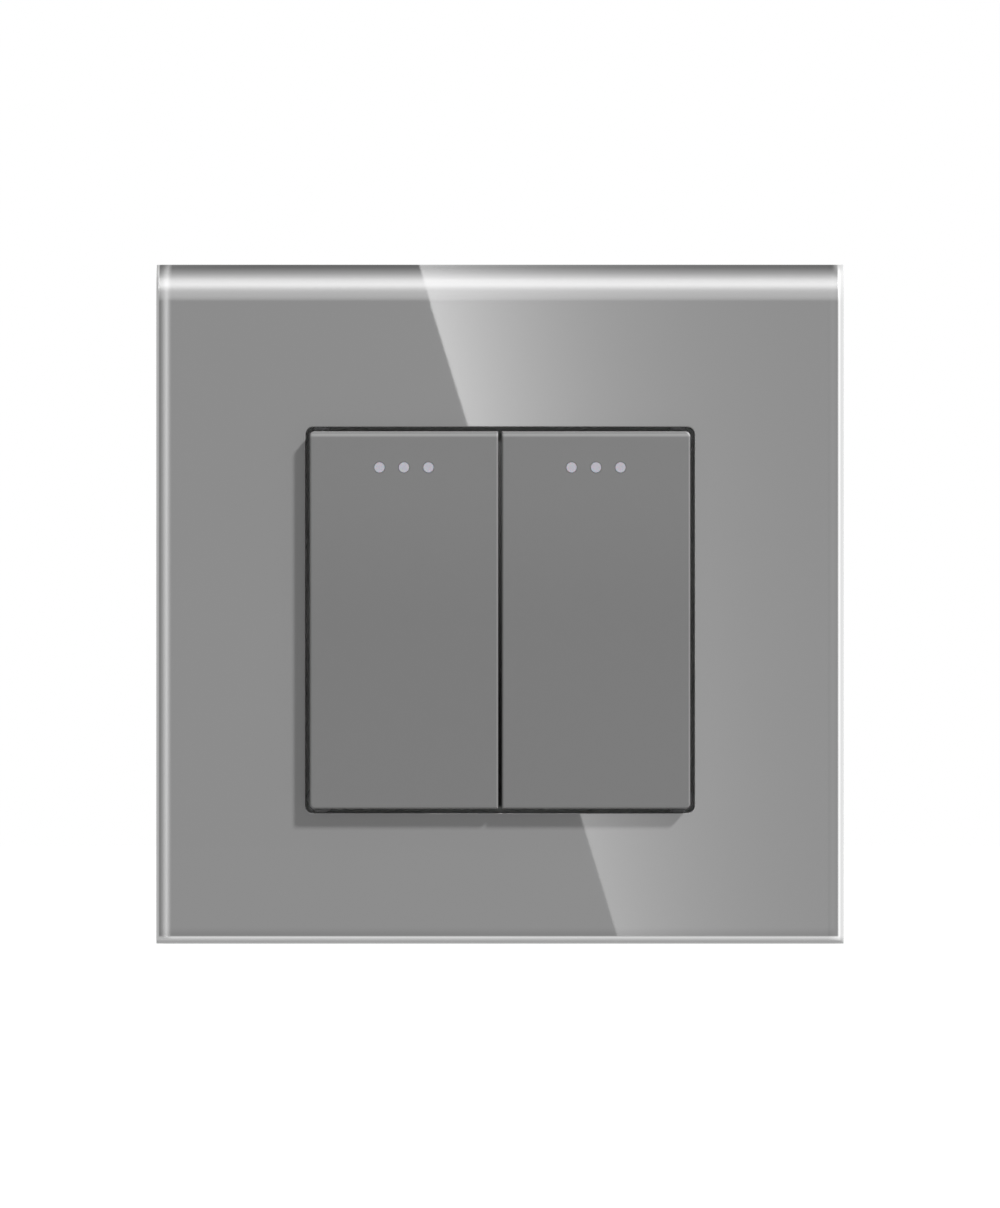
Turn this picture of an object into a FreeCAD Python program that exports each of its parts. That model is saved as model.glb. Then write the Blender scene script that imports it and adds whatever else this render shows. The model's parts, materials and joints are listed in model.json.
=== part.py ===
import FreeCAD, Part
import os
import re

import Sketcher

# A double light switch for one wall box: two rocking keys in the opening of a grey glass panel.
# The wall is the plane y = 0 and the room is on its -Y side. A "front" value is a distance from
# the wall towards the room, so a negative one lies inside the wall box. +Z is up, and the origin
# is the middle of the mechanism. All sizes are in millimetres and degrees.

SIZES = {
    # Glass panel
    "panel_width": 86.0,
    "panel_height": 85.0,
    "panel_raise": 2.0,
    "glass_thickness": 4.0,
    "top_round_height": 4.8,
    "top_round_depth": 3.2,
    "glass_edge_round": 1.0,
    "opening_width": 48.6,
    "opening_height": 48.2,
    "opening_corner": 0.9,
    # Bonding tape between the glass and its carrier
    "tape_thickness": 0.5,
    "tape_inset": 2.0,
    # Carrier frame behind the glass
    "carrier_front": 5.5,
    "carrier_wall_gap": 0.3,
    "carrier_inset": 1.0,
    "carrier_front_wall": 1.6,
    "carrier_side_wall": 1.6,
    "carrier_clearance": 0.5,
    "carrier_corner": 1.5,
    # Steel mounting plate, with a level and an upright pair of slots for the box screws
    "plate_thickness": 1.0,
    "plate_corner": 4.0,
    "plate_clearance": 0.25,
    "plate_end_gap": 2.9,
    "box_screw_spacing": 60.0,
    "slot_width": 4.2,
    "slot_length": 7.0,
    "slot_wall": 1.5,
    # Lugs of the plate and clips of the carrier that hook into them
    "lug_spacing": 44.0,
    "lug_width": 8.0,
    "lug_height": 3.5,
    "lug_window_width": 5.2,
    "lug_window_low": 1.6,
    "lug_window_high": 2.8,
    "clip_thickness": 1.2,
    "clip_clearance": 0.15,
    "clip_barb": 0.8,
    # Keys
    "key_proud": 1.3,
    "key_gap": 0.46,
    "key_clearance": 0.54,
    "key_wall": 1.5,
    "key_skirt": 1.2,
    "key_depth": 3.0,
    "key_set_back": 0.6,
    "key_corner": 0.6,
    "key_edge_round": 0.25,
    # Hooks of a key, over the two ends of its actuator
    "hook_width": 5.2,
    "hook_thickness": 1.2,
    "hook_height": 0.8,
    "hook_barb": 0.4,
    "hook_clearance": 0.15,
    # Locator dots
    "dot_radius": 0.65,
    "dot_pitch": 3.06,
    "dot_drop": 4.5,
    "dot_clearance": 0.05,
    "dot_bar_height": 1.8,
    "dot_bar_thickness": 0.9,
    "dot_bar_end": 1.6,
    # Actuator that carries the key
    "pivot_below_key": 4.3,
    "trunnion_radius": 1.5,
    "trunnion_clearance": 0.05,
    "trunnion_relief": 0.3,
    "trunnion_end_gap": 0.865,
    "actuator_height": 18.0,
    "actuator_plate": 1.4,
    "hub_height": 4.4,
    "hub_below_pivot": 1.0,
    "stem_radius": 2.5,
    "stem_drop": 0.4,
    "stem_reach": 8.5,
    # Plunger and its spring
    "plunger_radius": 1.55,
    "plunger_clearance": 0.05,
    "plunger_length": 4.6,
    "plunger_reach": 10.45,
    "plunger_gap": 0.15,
    "spring_radius": 1.2,
    "spring_wire_radius": 0.15,
    "spring_turns": 4.0,
    "spring_end_gap": 0.05,
    # Contact blade
    "blade_width": 5.0,
    "blade_length": 20.0,
    "blade_thickness": 0.8,
    "blade_tilt": 10.0,
    "contact_arm": 8.5,
    "contact_radius": 1.5,
    "contact_height": 0.8,
    "contact_dome_radius": 2.5,
    "contact_shank_radius": 0.8,
    "contact_gap": 0.1,
    "fulcrum_gap": 0.05,
    "fulcrum_half": 0.6,
    # Fixed contacts and strips
    "fixed_contact_radius": 1.7,
    "fixed_contact_height": 0.9,
    "strip_thickness": 0.6,
    "strip_margin": 0.9,
    "strip_gap": 0.8,
    "strip_bridge": 6.0,
    "strip_side_gap": 0.655,
    # Terminals
    "block_width": 6.5,
    "block_height": 7.0,
    "block_length": 9.3,
    "block_pitch": 8.2,
    "block_clearance": 0.1,
    "wire_radius": 1.6,
    "wire_depth": 7.5,
    "wire_inset": 2.4,
    "wire_entry_radius": 1.9,
    "screw_thread_radius": 1.5,
    "screw_head_radius": 2.2,
    "screw_head_height": 1.1,
    "screw_head_lift": 0.2,
    "screw_access_radius": 2.5,
    "screw_slot": 0.6,
    "thread_clearance": 0.02,
    # Base housing
    "base_width": 43.0,
    "base_height": 43.0,
    "base_wall": 1.5,
    "base_back_wall": 2.0,
    "base_corner": 4.0,
    "base_partition": 1.6,
    "base_core_width": 14.0,
    "base_core_height": 18.0,
    "base_core_floor": 2.5,
    "wire_entry_chamfer": 0.5,
    "base_rim": 4.0,
    "flange_lap": 4.0,
    "flange_thickness": 1.6,
    # Bearing cover and its screws
    "cover_thickness": 1.5,
    "cover_lap": 0.7,
    "cover_corner": 1.5,
    "cheek_thickness": 1.5,
    "cheek_side_play": 0.3,
    "cheek_half_height": 3.2,
    "cheek_wall": 1.9,
    "window_play": 0.7,
    "rib_half": 0.4,
    "rib_top_gap": 0.4,
    "rib_bottom_gap": 3.4,
    "cover_screw_offset": 0.8,
    "cover_screw_edge": 0.6,
    "cover_screw_radius": 0.9,
    "cover_screw_head_radius": 1.9,
    "cover_screw_head_height": 1.1,
    "cover_screw_length": 4.0,
    "cover_screw_cross": 1.33,
    "boss_radius": 2.5,
    # Rivets between the base and the plate
    "rivet_radius": 1.0,
    "rivet_head_radius": 1.7,
    "rivet_head_height": 0.6,
    "rivet_countersink": 0.5,
    "rivet_spacing": 20.0,
}

PLACES = {
    # Layers in front of the wall
    "plate_front": "plate_thickness",
    "tape_front": "carrier_front + tape_thickness",
    "glass_front": "tape_front + glass_thickness",
    "key_front": "glass_front + key_proud",
    "key_inside": "key_front - key_wall",
    "key_back": "key_front - key_depth",
    "pivot_front": "key_front - pivot_below_key",
    "cover_front": "base_rim + cover_thickness",
    "carrier_inside": "carrier_front - carrier_front_wall",
    "flange_front": "plate_front + flange_thickness",
    # Layers inside the wall box, each seated on the one before
    "plunger_front": "pivot_front - plunger_reach",
    "blade_axis": "plunger_front - plunger_gap - blade_thickness",
    "dome_lift": "contact_dome_radius - contact_height",
    "contact_swing": "contact_arm * sin(blade_tilt) - dome_lift * cos(blade_tilt) + contact_dome_radius",
    "contact_z": "contact_arm * cos(blade_tilt) + dome_lift * sin(blade_tilt)",
    "fixed_contact_front": "blade_axis - contact_swing - contact_gap",
    "strip_front": "fixed_contact_front - fixed_contact_height",
    "deck_front": "strip_front - strip_thickness",
    "block_back": "deck_front - block_length",
    "base_back": "block_back - block_clearance - base_back_wall",
    # Glass panel and carrier frame
    "panel_top": "panel_raise + panel_height / 2",
    "panel_bottom": "panel_raise - panel_height / 2",
    "round_start": "panel_top - top_round_height",
    "round_end_front": "glass_front - top_round_depth",
    "carrier_half_width": "panel_width / 2 - carrier_inset",
    "carrier_half_height": "panel_height / 2 - carrier_inset",
    "hollow_half_width": "carrier_half_width - carrier_side_wall",
    "hollow_half_height": "carrier_half_height - carrier_side_wall",
    # Mounting plate: its width holds the level slots, and its height fits in the carrier
    "plate_half_width": "(box_screw_spacing + slot_length) / 2 + slot_wall",
    "plate_half_height": "hollow_half_height - panel_raise - plate_end_gap",
    "level_slot_x": "box_screw_spacing / 2",
    "upright_slot_z": "plate_half_height - slot_wall - slot_length / 2",
    # Keys and actuators
    "key_width": "(opening_width - key_gap) / 2 - key_clearance",
    "key_height": "opening_height - 2 * key_clearance",
    "gang_x": "(key_width + key_gap) / 2",
    "dot_z": "key_height / 2 - dot_drop",
    "trunnion_end": "key_width / 2 - key_set_back - key_skirt - trunnion_end_gap",
    "actuator_half_width": "trunnion_end - 2 * cheek_side_play - cheek_thickness",
    # Base, cover and what fastens them
    "base_half_width": "base_width / 2",
    "base_half_height": "base_height / 2",
    "flange_half_width": "base_half_width + flange_lap",
    "flange_half_height": "base_half_height + flange_lap",
    "cover_screw_x": "base_half_width + cover_screw_offset",
    "cover_screw_z": "base_half_height + cover_screw_offset",
    "cover_screw_reach": "cover_screw_head_radius + cover_screw_edge",
    "cover_half_width": "max(opening_width / 2 + cover_lap; cover_screw_x + cover_screw_reach)",
    "cover_half_height": "max(opening_height / 2 + cover_lap; cover_screw_z + cover_screw_reach)",
    "rivet_x": "base_half_width + (flange_lap + plate_clearance) / 2",
    "rivet_z": "rivet_spacing / 2",
    # Bore of the stem
    "bore_radius": "plunger_radius + plunger_clearance",
    "bore_end": "pivot_front - trunnion_radius - plunger_clearance",
    "stem_mouth": "pivot_front - stem_reach",
    "plunger_rear": "plunger_front + plunger_length",
    # Terminals, set out from the base's outer walls
    "terminal_half": "(block_pitch + block_width) / 2",
    "terminal_x": "base_half_width - base_wall - strip_side_gap - terminal_half",
    "block_outer": "base_half_height - base_wall - block_clearance - screw_head_lift",
    "block_inner": "block_outer - block_height",
    "wire_z": "block_inner + wire_inset",
    "screw_front": "(block_back + deck_front) / 2",
    "screw_tip": "wire_z + wire_radius + screw_head_lift",
    "screw_head_low": "block_outer + screw_head_lift",
    "screw_head_high": "screw_head_low + screw_head_height",
}


def linked(formula, home=""):
    """The formula with each named value written with the sheet that holds it."""

    def with_sheet(found):
        word = found.group(0)
        if word in SIZES:
            return "Sizes." + word
        if word in PLACES and home != "Places":
            return "Places." + word
        return word

    return re.sub(r"[a-z_]{3,}", with_sheet, formula)


def make_sheet(name, cells):
    """A spreadsheet with one named cell in each row."""
    sheet = doc.addObject("Spreadsheet::Sheet", name)
    for row, (alias, text) in enumerate(cells.items(), start=1):
        sheet.set(f"A{row}", text)
        sheet.setAlias(f"A{row}", alias)
    doc.recompute()
    return sheet


doc = FreeCAD.newDocument("double_light_switch")
sizes = make_sheet("Sizes", {alias: str(number) for alias, number in SIZES.items()})
places = make_sheet("Places", {alias: "=" + linked(text, "Places") for alias, text in PLACES.items()})


def value(name):
    """The number that a named size or place holds."""
    return float((sizes if name in SIZES else places).get(name))


def bind(thing, path, formula):
    """Ties a property, or a constraint of a sketch, to a formula of named values."""
    thing.setExpression(path, linked(formula))


# Outlines

ORIGIN = (-1, 1)
START, END, CENTRE = range(1, 4)
# A line or circle is drawn at this size, and its formulas then set the real one
DRAWN = 1.0


def place_point(sketch, geometry, point, across, up):
    """Fixes a point of a sketch by its two distances from the sketch's origin."""
    for kind, formula in (("DistanceX", across), ("DistanceY", up)):
        index = sketch.addConstraint(Sketcher.Constraint(kind, *ORIGIN, geometry, point, DRAWN))
        bind(sketch, f"Constraints[{index}]", formula)


def polygon(corners):
    """A closed outline through corners given as pairs of formulas."""

    def draw(sketch):
        first = sketch.GeometryCount
        count = len(corners)
        drawn = [FreeCAD.Vector(step, step % 2, 0) * DRAWN for step in range(count)]
        for step in range(count):
            line = Part.LineSegment(drawn[step], drawn[(step + 1) % count])
            sketch.addGeometry(line, False)
        for step in range(count):
            following = first + (step + 1) % count
            sketch.addConstraint(Sketcher.Constraint("Coincident", first + step, END, following, START))
            place_point(sketch, first + step, START, *corners[step])

    return draw


def rectangle(left, right, bottom, top):
    """A rectangle between four formulas."""
    return polygon([(left, bottom), (right, bottom), (right, top), (left, top)])


def centred(half_width, half_height):
    """A rectangle about the sketch's origin."""
    return rectangle(f"-({half_width})", half_width, f"-({half_height})", half_height)


def raised(half_width, half_height):
    """A rectangle about the middle of the glass panel."""
    return rectangle(
        f"-({half_width})", half_width, f"panel_raise - ({half_height})", f"panel_raise + ({half_height})"
    )


def circle(across, up, radius):
    """A circle at a place given by two formulas."""

    def draw(sketch):
        middle = FreeCAD.Vector(DRAWN, DRAWN, 0)
        index = sketch.addGeometry(Part.Circle(middle, FreeCAD.Vector(0, 0, 1), DRAWN), False)
        place_point(sketch, index, CENTRE, across, up)
        size = sketch.addConstraint(Sketcher.Constraint("Radius", index, DRAWN))
        bind(sketch, f"Constraints[{size}]", radius)

    return draw


def four_circles(across, up, radius):
    """A circle in each quarter, at plus and minus both formulas."""
    return [
        circle(f"{right} * ({across})", f"{high} * ({up})", radius)
        for right in (-1, 1)
        for high in (-1, 1)
    ]


def span(way, near, far):
    """Two formulas in rising order, on the side of zero that the sign gives."""
    return (near, far) if way > 0 else (f"-({far})", f"-({near})")


# Pieces

PLANES = {"front": "XZ_Plane", "top": "XY_Plane", "side": "YZ_Plane"}
PIECES = []


def keep(piece, label):
    """Names an object as one of the switch's pieces."""
    piece.Label = label
    PIECES.append(piece)
    return piece


def new_body(label):
    """A body for one piece."""
    return keep(doc.addObject("PartDesign::Body", label), label)


def sketch_on(body, name, plane, level, shapes):
    """A sketch on a plane of the body, moved along the plane's normal to a level."""
    sketch = body.newObject("Sketcher::SketchObject", name)
    (support,) = [datum for datum in body.Origin.OriginFeatures if datum.Role == PLANES[plane]]
    sketch.AttachmentSupport = [(support, "")]
    sketch.MapMode = "FlatFace"
    bind(sketch, "AttachmentOffset.Base.z", level)
    for draw in shapes:
        draw(sketch)
    return sketch


def add(body, name, plane, start, end, shapes):
    """Adds material between two levels of a plane."""
    pad = body.newObject("PartDesign::Pad", f"{body.Name}_{name}")
    pad.Profile = sketch_on(body, f"{pad.Name}_outline", plane, start, shapes)
    bind(pad, "Length", f"({end}) - ({start})")


def cut(body, name, plane, start, end, shapes):
    """Takes material away between two levels of a plane."""
    pocket = body.newObject("PartDesign::Pocket", f"{body.Name}_{name}")
    pocket.Profile = sketch_on(body, f"{pocket.Name}_outline", plane, end, shapes)
    bind(pocket, "Length", f"({end}) - ({start})")


def chosen_edges(body, chosen):
    """The body as it is so far, with the names of the edges that the test picks."""
    doc.recompute()
    base = body.Tip
    return base, [f"Edge{number}" for number, edge in enumerate(base.Shape.Edges, start=1) if chosen(edge)]


def round_edges(body, name, radius, chosen):
    """Rounds the edges that the test picks."""
    base = chosen_edges(body, chosen)
    fillet = body.newObject("PartDesign::Fillet", f"{body.Name}_{name}")
    fillet.Base = base
    bind(fillet, "Radius", radius)


def bevel_edges(body, name, size, chosen):
    """Bevels the edges that the test picks."""
    base = chosen_edges(body, chosen)
    chamfer = body.newObject("PartDesign::Chamfer", f"{body.Name}_{name}")
    chamfer.Base = base
    bind(chamfer, "Size", size)


NEAR = 1e-4


def runs_to_room(edge):
    """True for a straight edge square to the wall."""
    return edge.BoundBox.XLength < NEAR and edge.BoundBox.ZLength < NEAR


def lies_at_front(edge, front):
    """True for an edge that lies whole at one distance from the wall."""
    return abs(edge.BoundBox.YMin + front) < NEAR and abs(edge.BoundBox.YMax + front) < NEAR


def lies_at_height(edge, height):
    """True for an edge whose lowest point is at one height."""
    return abs(edge.BoundBox.ZMin - height) < NEAR


# Solids of plain form

TO_ROOM = FreeCAD.Rotation(FreeCAD.Vector(1, 0, 0), 90)
UPWARD = FreeCAD.Rotation()


def put(thing, across, behind, up, turn=UPWARD):
    """Places an object at three formulas, after a turn."""
    thing.Placement = FreeCAD.Placement(FreeCAD.Vector(), turn)
    for axis, formula in (("x", across), ("y", behind), ("z", up)):
        bind(thing, f"Placement.Base.{axis}", formula)
    return thing


def rod(name, radius, across, up, start, end):
    """A cylinder square to the wall, between two front distances."""
    cylinder = doc.addObject("Part::Cylinder", name)
    bind(cylinder, "Radius", radius)
    bind(cylinder, "Height", f"({end}) - ({start})")
    return put(cylinder, across, f"-({start})", up, TO_ROOM)


def cone(name, start_radius, end_radius, across, up, start, end):
    """A cone square to the wall, between two front distances."""
    tapered = doc.addObject("Part::Cone", name)
    bind(tapered, "Radius1", start_radius)
    bind(tapered, "Radius2", end_radius)
    bind(tapered, "Height", f"({end}) - ({start})")
    return put(tapered, across, f"-({start})", up, TO_ROOM)


def post(name, radius, across, front, start, end):
    """An upright cylinder between two heights."""
    cylinder = doc.addObject("Part::Cylinder", name)
    bind(cylinder, "Radius", radius)
    bind(cylinder, "Height", f"({end}) - ({start})")
    return put(cylinder, across, f"-({front})", start)


def block(name, left, right, back, front, bottom, top):
    """A box between six formulas."""
    box = doc.addObject("Part::Box", name)
    bind(box, "Length", f"({right}) - ({left})")
    bind(box, "Width", f"({front}) - ({back})")
    bind(box, "Height", f"({top}) - ({bottom})")
    return put(box, left, f"-({front})", bottom)


def joined(name, first, second):
    """Two solids as one."""
    fuse = doc.addObject("Part::Fuse", name)
    fuse.Base, fuse.Tool = first, second
    return fuse


def cut_away(name, first, second):
    """The first solid without the second."""
    difference = doc.addObject("Part::Cut", name)
    difference.Base, difference.Tool = first, second
    return difference


def group(label, solids):
    """Equal pieces that share one name."""
    compound = doc.addObject("Part::Compound", label)
    compound.Links = solids
    return keep(compound, label)


# Fixed pieces

GANGS = (("left", -1), ("right", 1))
ENDS = (("top", 1), ("bottom", -1))

# A gang's three terminals: the place beside their middle, and the upper or the lower row
TERMINALS = (
    ("common", "block_pitch / 2", 1),
    ("upper", "-block_pitch / 2", 1),
    ("lower", "-block_pitch / 2", -1),
)


def make_glass_panel():
    """Grey glass with a broad round along its top edge and an opening for the keys."""
    body = new_body("glass_panel")
    pad = body.newObject("PartDesign::Pad", "glass_panel_sheet")
    pad.Profile = sketch_on(body, "glass_panel_profile", "side", "-panel_width / 2", [draw_glass_profile])
    bind(pad, "Length", "panel_width")
    front, round_start = value("glass_front"), value("round_start")
    round_edges(
        body, "edges", "glass_edge_round",
        lambda edge: lies_at_front(edge, front) and not lies_at_height(edge, round_start),
    )
    cut(body, "opening", "front", "tape_front", "glass_front",
        [centred("opening_width / 2", "opening_height / 2")])
    opening_side = value("opening_width") / 2
    round_edges(
        body, "opening_corners", "opening_corner",
        lambda edge: runs_to_room(edge) and abs(edge.BoundBox.XMin) < opening_side + NEAR,
    )


def draw_glass_profile(sketch):
    """The glass seen from its side: flat, with an arc from the front face up to the top."""
    back, front = -value("tape_front"), -value("glass_front")
    bottom, top = value("panel_bottom"), value("panel_top")
    height, depth = value("top_round_height"), value("top_round_depth")
    radius = (height**2 + depth**2) / (2 * depth)
    arc_start = FreeCAD.Vector(front, top - height, 0)
    arc_end = FreeCAD.Vector(front + depth, top, 0)
    centre = FreeCAD.Vector(front + radius, top - height, 0)
    halfway = (arc_start + arc_end) / 2 - centre
    low_back = FreeCAD.Vector(back, bottom, 0)
    low_front = FreeCAD.Vector(front, bottom, 0)
    high_back = FreeCAD.Vector(back, top, 0)
    lines = [
        Part.LineSegment(low_back, low_front),
        Part.LineSegment(low_front, arc_start),
        Part.Arc(arc_start, centre + halfway * (radius / halfway.Length), arc_end),
        Part.LineSegment(arc_end, high_back),
        Part.LineSegment(high_back, low_back),
    ]
    under, face, bend, over, rear = [sketch.addGeometry(line, False) for line in lines]
    # The arc is stored from its upper to its lower end
    sketch.addConstraint(Sketcher.Constraint("Coincident", under, END, face, START))
    sketch.addConstraint(Sketcher.Constraint("Tangent", face, END, bend, END))
    sketch.addConstraint(Sketcher.Constraint("Coincident", bend, START, over, START))
    sketch.addConstraint(Sketcher.Constraint("Coincident", over, END, rear, START))
    sketch.addConstraint(Sketcher.Constraint("Coincident", rear, END, under, START))
    place_point(sketch, under, START, "-tape_front", "panel_bottom")
    place_point(sketch, face, START, "-glass_front", "panel_bottom")
    place_point(sketch, face, END, "-glass_front", "round_start")
    place_point(sketch, over, START, "-round_end_front", "panel_top")
    place_point(sketch, rear, START, "-tape_front", "panel_top")


def make_bonding_tape():
    """A frame of foam tape that holds the glass on its carrier."""
    body = new_body("panel_bonding_tape")
    add(body, "sheet", "front", "carrier_front", "tape_front",
        [raised("carrier_half_width - tape_inset", "carrier_half_height - tape_inset")])
    margin = "carrier_clearance + tape_inset"
    cut(body, "opening", "front", "carrier_front", "tape_front",
        [centred(f"cover_half_width + {margin}", f"cover_half_height + {margin}")])


def make_carrier_frame():
    """A moulded frame with four clips, bonded to the back of the glass."""
    body = new_body("carrier_frame")
    add(body, "shell", "front", "carrier_wall_gap", "carrier_front",
        [raised("carrier_half_width", "carrier_half_height")])
    round_edges(body, "corners", "carrier_corner", runs_to_room)
    cut(body, "hollow", "front", "carrier_wall_gap", "carrier_inside",
        [raised("hollow_half_width", "hollow_half_height")])
    cut(body, "opening", "front", "carrier_inside", "carrier_front",
        [centred("cover_half_width + carrier_clearance", "cover_half_height + carrier_clearance")])
    leg_near = "plate_half_height + clip_clearance"
    half = "lug_window_width / 2 - clip_clearance"
    for side, hand in GANGS:
        middle = f"{hand} * lug_spacing / 2"
        sides = f"{middle} - ({half})", f"{middle} + {half}"
        for end, way in ENDS:
            leg = rectangle(*sides, *span(way, leg_near, f"{leg_near} + clip_thickness"))
            barb = rectangle(*sides, *span(way, f"{leg_near} - clip_barb", leg_near))
            add(body, f"leg_{side}_{end}", "front", "lug_window_low - clip_clearance", "carrier_inside",
                [leg])
            add(body, f"barb_{side}_{end}", "front", "lug_window_low + clip_clearance",
                "lug_window_high - clip_clearance", [barb])


def make_mounting_plate():
    """A pressed steel plate with slots for the box screws and lugs for the clips."""
    body = new_body("mounting_plate")
    add(body, "sheet", "front", "0", "plate_front", [centred("plate_half_width", "plate_half_height")])
    round_edges(body, "corners", "plate_corner", runs_to_room)
    cut(body, "opening", "front", "0", "plate_front",
        [centred("base_half_width + plate_clearance", "base_half_height + plate_clearance")])
    for _, hand in GANGS:
        cut_box_slot(body, f"{hand} * level_slot_x", level=True)
        cut_box_slot(body, f"{hand} * upright_slot_z", level=False)
    cut(body, "rivet_holes", "front", "0", "plate_front",
        four_circles("rivet_x", "rivet_z", "rivet_radius + thread_clearance"))
    bevel_edges(
        body, "rivet_countersinks", "rivet_countersink",
        lambda edge: lies_at_front(edge, 0) and len(edge.Vertexes) == 1,
    )
    for side, hand in GANGS:
        middle = f"{hand} * lug_spacing / 2"
        for end, way in ENDS:
            edge = span(way, "plate_half_height - plate_thickness", "plate_half_height")
            add(body, f"lug_{side}_{end}", "front", "plate_front", "lug_height",
                [rectangle(f"{middle} - lug_width / 2", f"{middle} + lug_width / 2", *edge)])
            cut(body, f"window_{side}_{end}", "front", "lug_window_low", "lug_window_high",
                [rectangle(f"{middle} - lug_window_width / 2", f"{middle} + lug_window_width / 2", *edge)])


def cut_box_slot(body, middle, level):
    """A level slot beside the base or an upright one above or below it, with round ends."""
    ends = [f"{middle} {sign} (slot_length - slot_width) / 2" for sign in "-+"]
    half = "slot_width / 2"
    if level:
        straight = rectangle(*ends, f"-{half}", half)
        rounds = [circle(end, "0", half) for end in ends]
    else:
        straight = rectangle(f"-{half}", half, *ends)
        rounds = [circle("0", end, half) for end in ends]
    cut(body, "slot", "front", "0", "plate_front", [straight])
    cut(body, "slot_ends", "front", "0", "plate_front", rounds)


def make_base_housing():
    """The moulded base: a deep box with a room for each gang and a flange on the plate."""
    body = new_body("base_housing")
    add(body, "box", "front", "base_back", "base_rim", [centred("base_half_width", "base_half_height")])
    round_edges(body, "corners", "base_corner", runs_to_room)
    add(body, "flange", "front", "plate_front", "flange_front",
        [centred("flange_half_width", "flange_half_height")])
    add(body, "bosses", "front", "flange_front", "base_rim",
        four_circles("cover_screw_x", "cover_screw_z", "boss_radius"))
    for gang, hand in GANGS:
        sides = span(hand, "base_partition / 2", "base_half_width - base_wall")
        cut(body, f"{gang}_room", "front", "deck_front", "base_rim",
            [rectangle(*sides, "base_wall - base_half_height", "base_half_height - base_wall")])
        for name, across, way in TERMINALS:
            cut_terminal_pocket(body, f"{gang}_{name}", f"{hand} * terminal_x + {across}", way)
        middle = f"{hand} * gang_x"
        core = rectangle(
            f"{middle} - base_core_width / 2", f"{middle} + base_core_width / 2",
            "-base_core_height / 2", "base_core_height / 2",
        )
        cut(body, f"{gang}_core", "front", "base_back", "deck_front - base_core_floor", [core])
    cut(body, "cover_screw_holes", "front", "cover_front - cover_screw_length - thread_clearance",
        "base_rim", four_circles("cover_screw_x", "cover_screw_z", "cover_screw_radius + thread_clearance"))
    cut(body, "rivet_holes", "front", "plate_front", "flange_front",
        four_circles("rivet_x", "rivet_z", "rivet_radius + thread_clearance"))
    back = value("base_back")
    bevel_edges(
        body, "wire_entry_bevels", "wire_entry_chamfer",
        lambda edge: lies_at_front(edge, back) and len(edge.Vertexes) == 1,
    )


def cut_terminal_pocket(body, name, middle, way):
    """A pocket for a terminal block, with its wire entry behind and its screwdriver hole."""
    half = "block_width / 2 + block_clearance"
    heights = span(way, "block_inner - block_clearance", "block_outer + block_clearance")
    cut(body, f"{name}_pocket", "front", "block_back - block_clearance", "deck_front",
        [rectangle(f"{middle} - ({half})", f"{middle} + {half}", *heights)])
    cut(body, f"{name}_wire_entry", "front", "base_back", "block_back",
        [circle(middle, f"{way} * wire_z", "wire_entry_radius")])
    cut(body, f"{name}_screw_access", "top", *span(way, "block_outer", "base_half_height"),
        [circle(middle, "-screw_front", "screw_access_radius")])


def make_bearing_cover():
    """The cover of the base, with the cheeks that the keys' trunnions turn in."""
    body = new_body("bearing_cover")
    add(body, "plate", "front", "base_rim", "cover_front",
        [centred("cover_half_width", "cover_half_height")])
    round_edges(body, "corners", "cover_corner", runs_to_room)
    for gang, hand in GANGS:
        cut_relief(body, gang, f"{hand} * gang_x")
        for side in (-1, 1):
            add_cheek(body, gang, f"{hand} * gang_x", side)
        cut_stem_window(body, gang, f"{hand} * gang_x")
    rib_end = "key_height / 2 - key_skirt"
    add(body, "rib", "side", "-rib_half", "rib_half", [polygon([
        ("-cover_front", f"-({rib_end})"),
        ("-cover_front", rib_end),
        ("rib_top_gap - key_inside", rib_end),
        ("rib_bottom_gap - key_inside", f"-({rib_end})"),
    ])])
    cut(body, "screw_heads", "front", "cover_front - cover_screw_head_height - thread_clearance",
        "cover_front",
        four_circles("cover_screw_x", "cover_screw_z", "cover_screw_head_radius + thread_clearance"))
    cut(body, "screw_holes", "front", "base_rim", "cover_front",
        four_circles("cover_screw_x", "cover_screw_z", "cover_screw_radius + thread_clearance"))


def cut_relief(body, gang, middle):
    """A groove in the cover that leaves the trunnions free."""
    reach = "trunnion_end + cheek_side_play"
    cut(body, f"{gang}_relief", "side", f"{middle} - ({reach})", f"{middle} + {reach}",
        [circle("-pivot_front", "0", "trunnion_radius + trunnion_relief")])


def add_cheek(body, gang, middle, side):
    """A cheek beside the actuator, with the bearing of one trunnion."""
    near = "actuator_half_width + cheek_side_play"
    low, high = span(side, near, f"{near} + cheek_thickness")
    left, right = f"{middle} + {low}", f"{middle} + {high}"
    add(body, f"{gang}_cheek", "front", "cover_front", "pivot_front + cheek_wall",
        [rectangle(left, right, "-cheek_half_height", "cheek_half_height")])
    cut(body, f"{gang}_bearing", "side", left, right,
        [circle("-pivot_front", "0", "trunnion_radius + trunnion_clearance")])


def cut_stem_window(body, gang, middle):
    """A window for the stem, longer below, where the stem swings to."""
    half = "stem_radius + window_play"
    cut(body, f"{gang}_window", "front", "base_rim", "cover_front",
        [rectangle(f"{middle} - ({half})", f"{middle} + {half}", f"-({half}) - 2 * stem_drop", half)])


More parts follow.
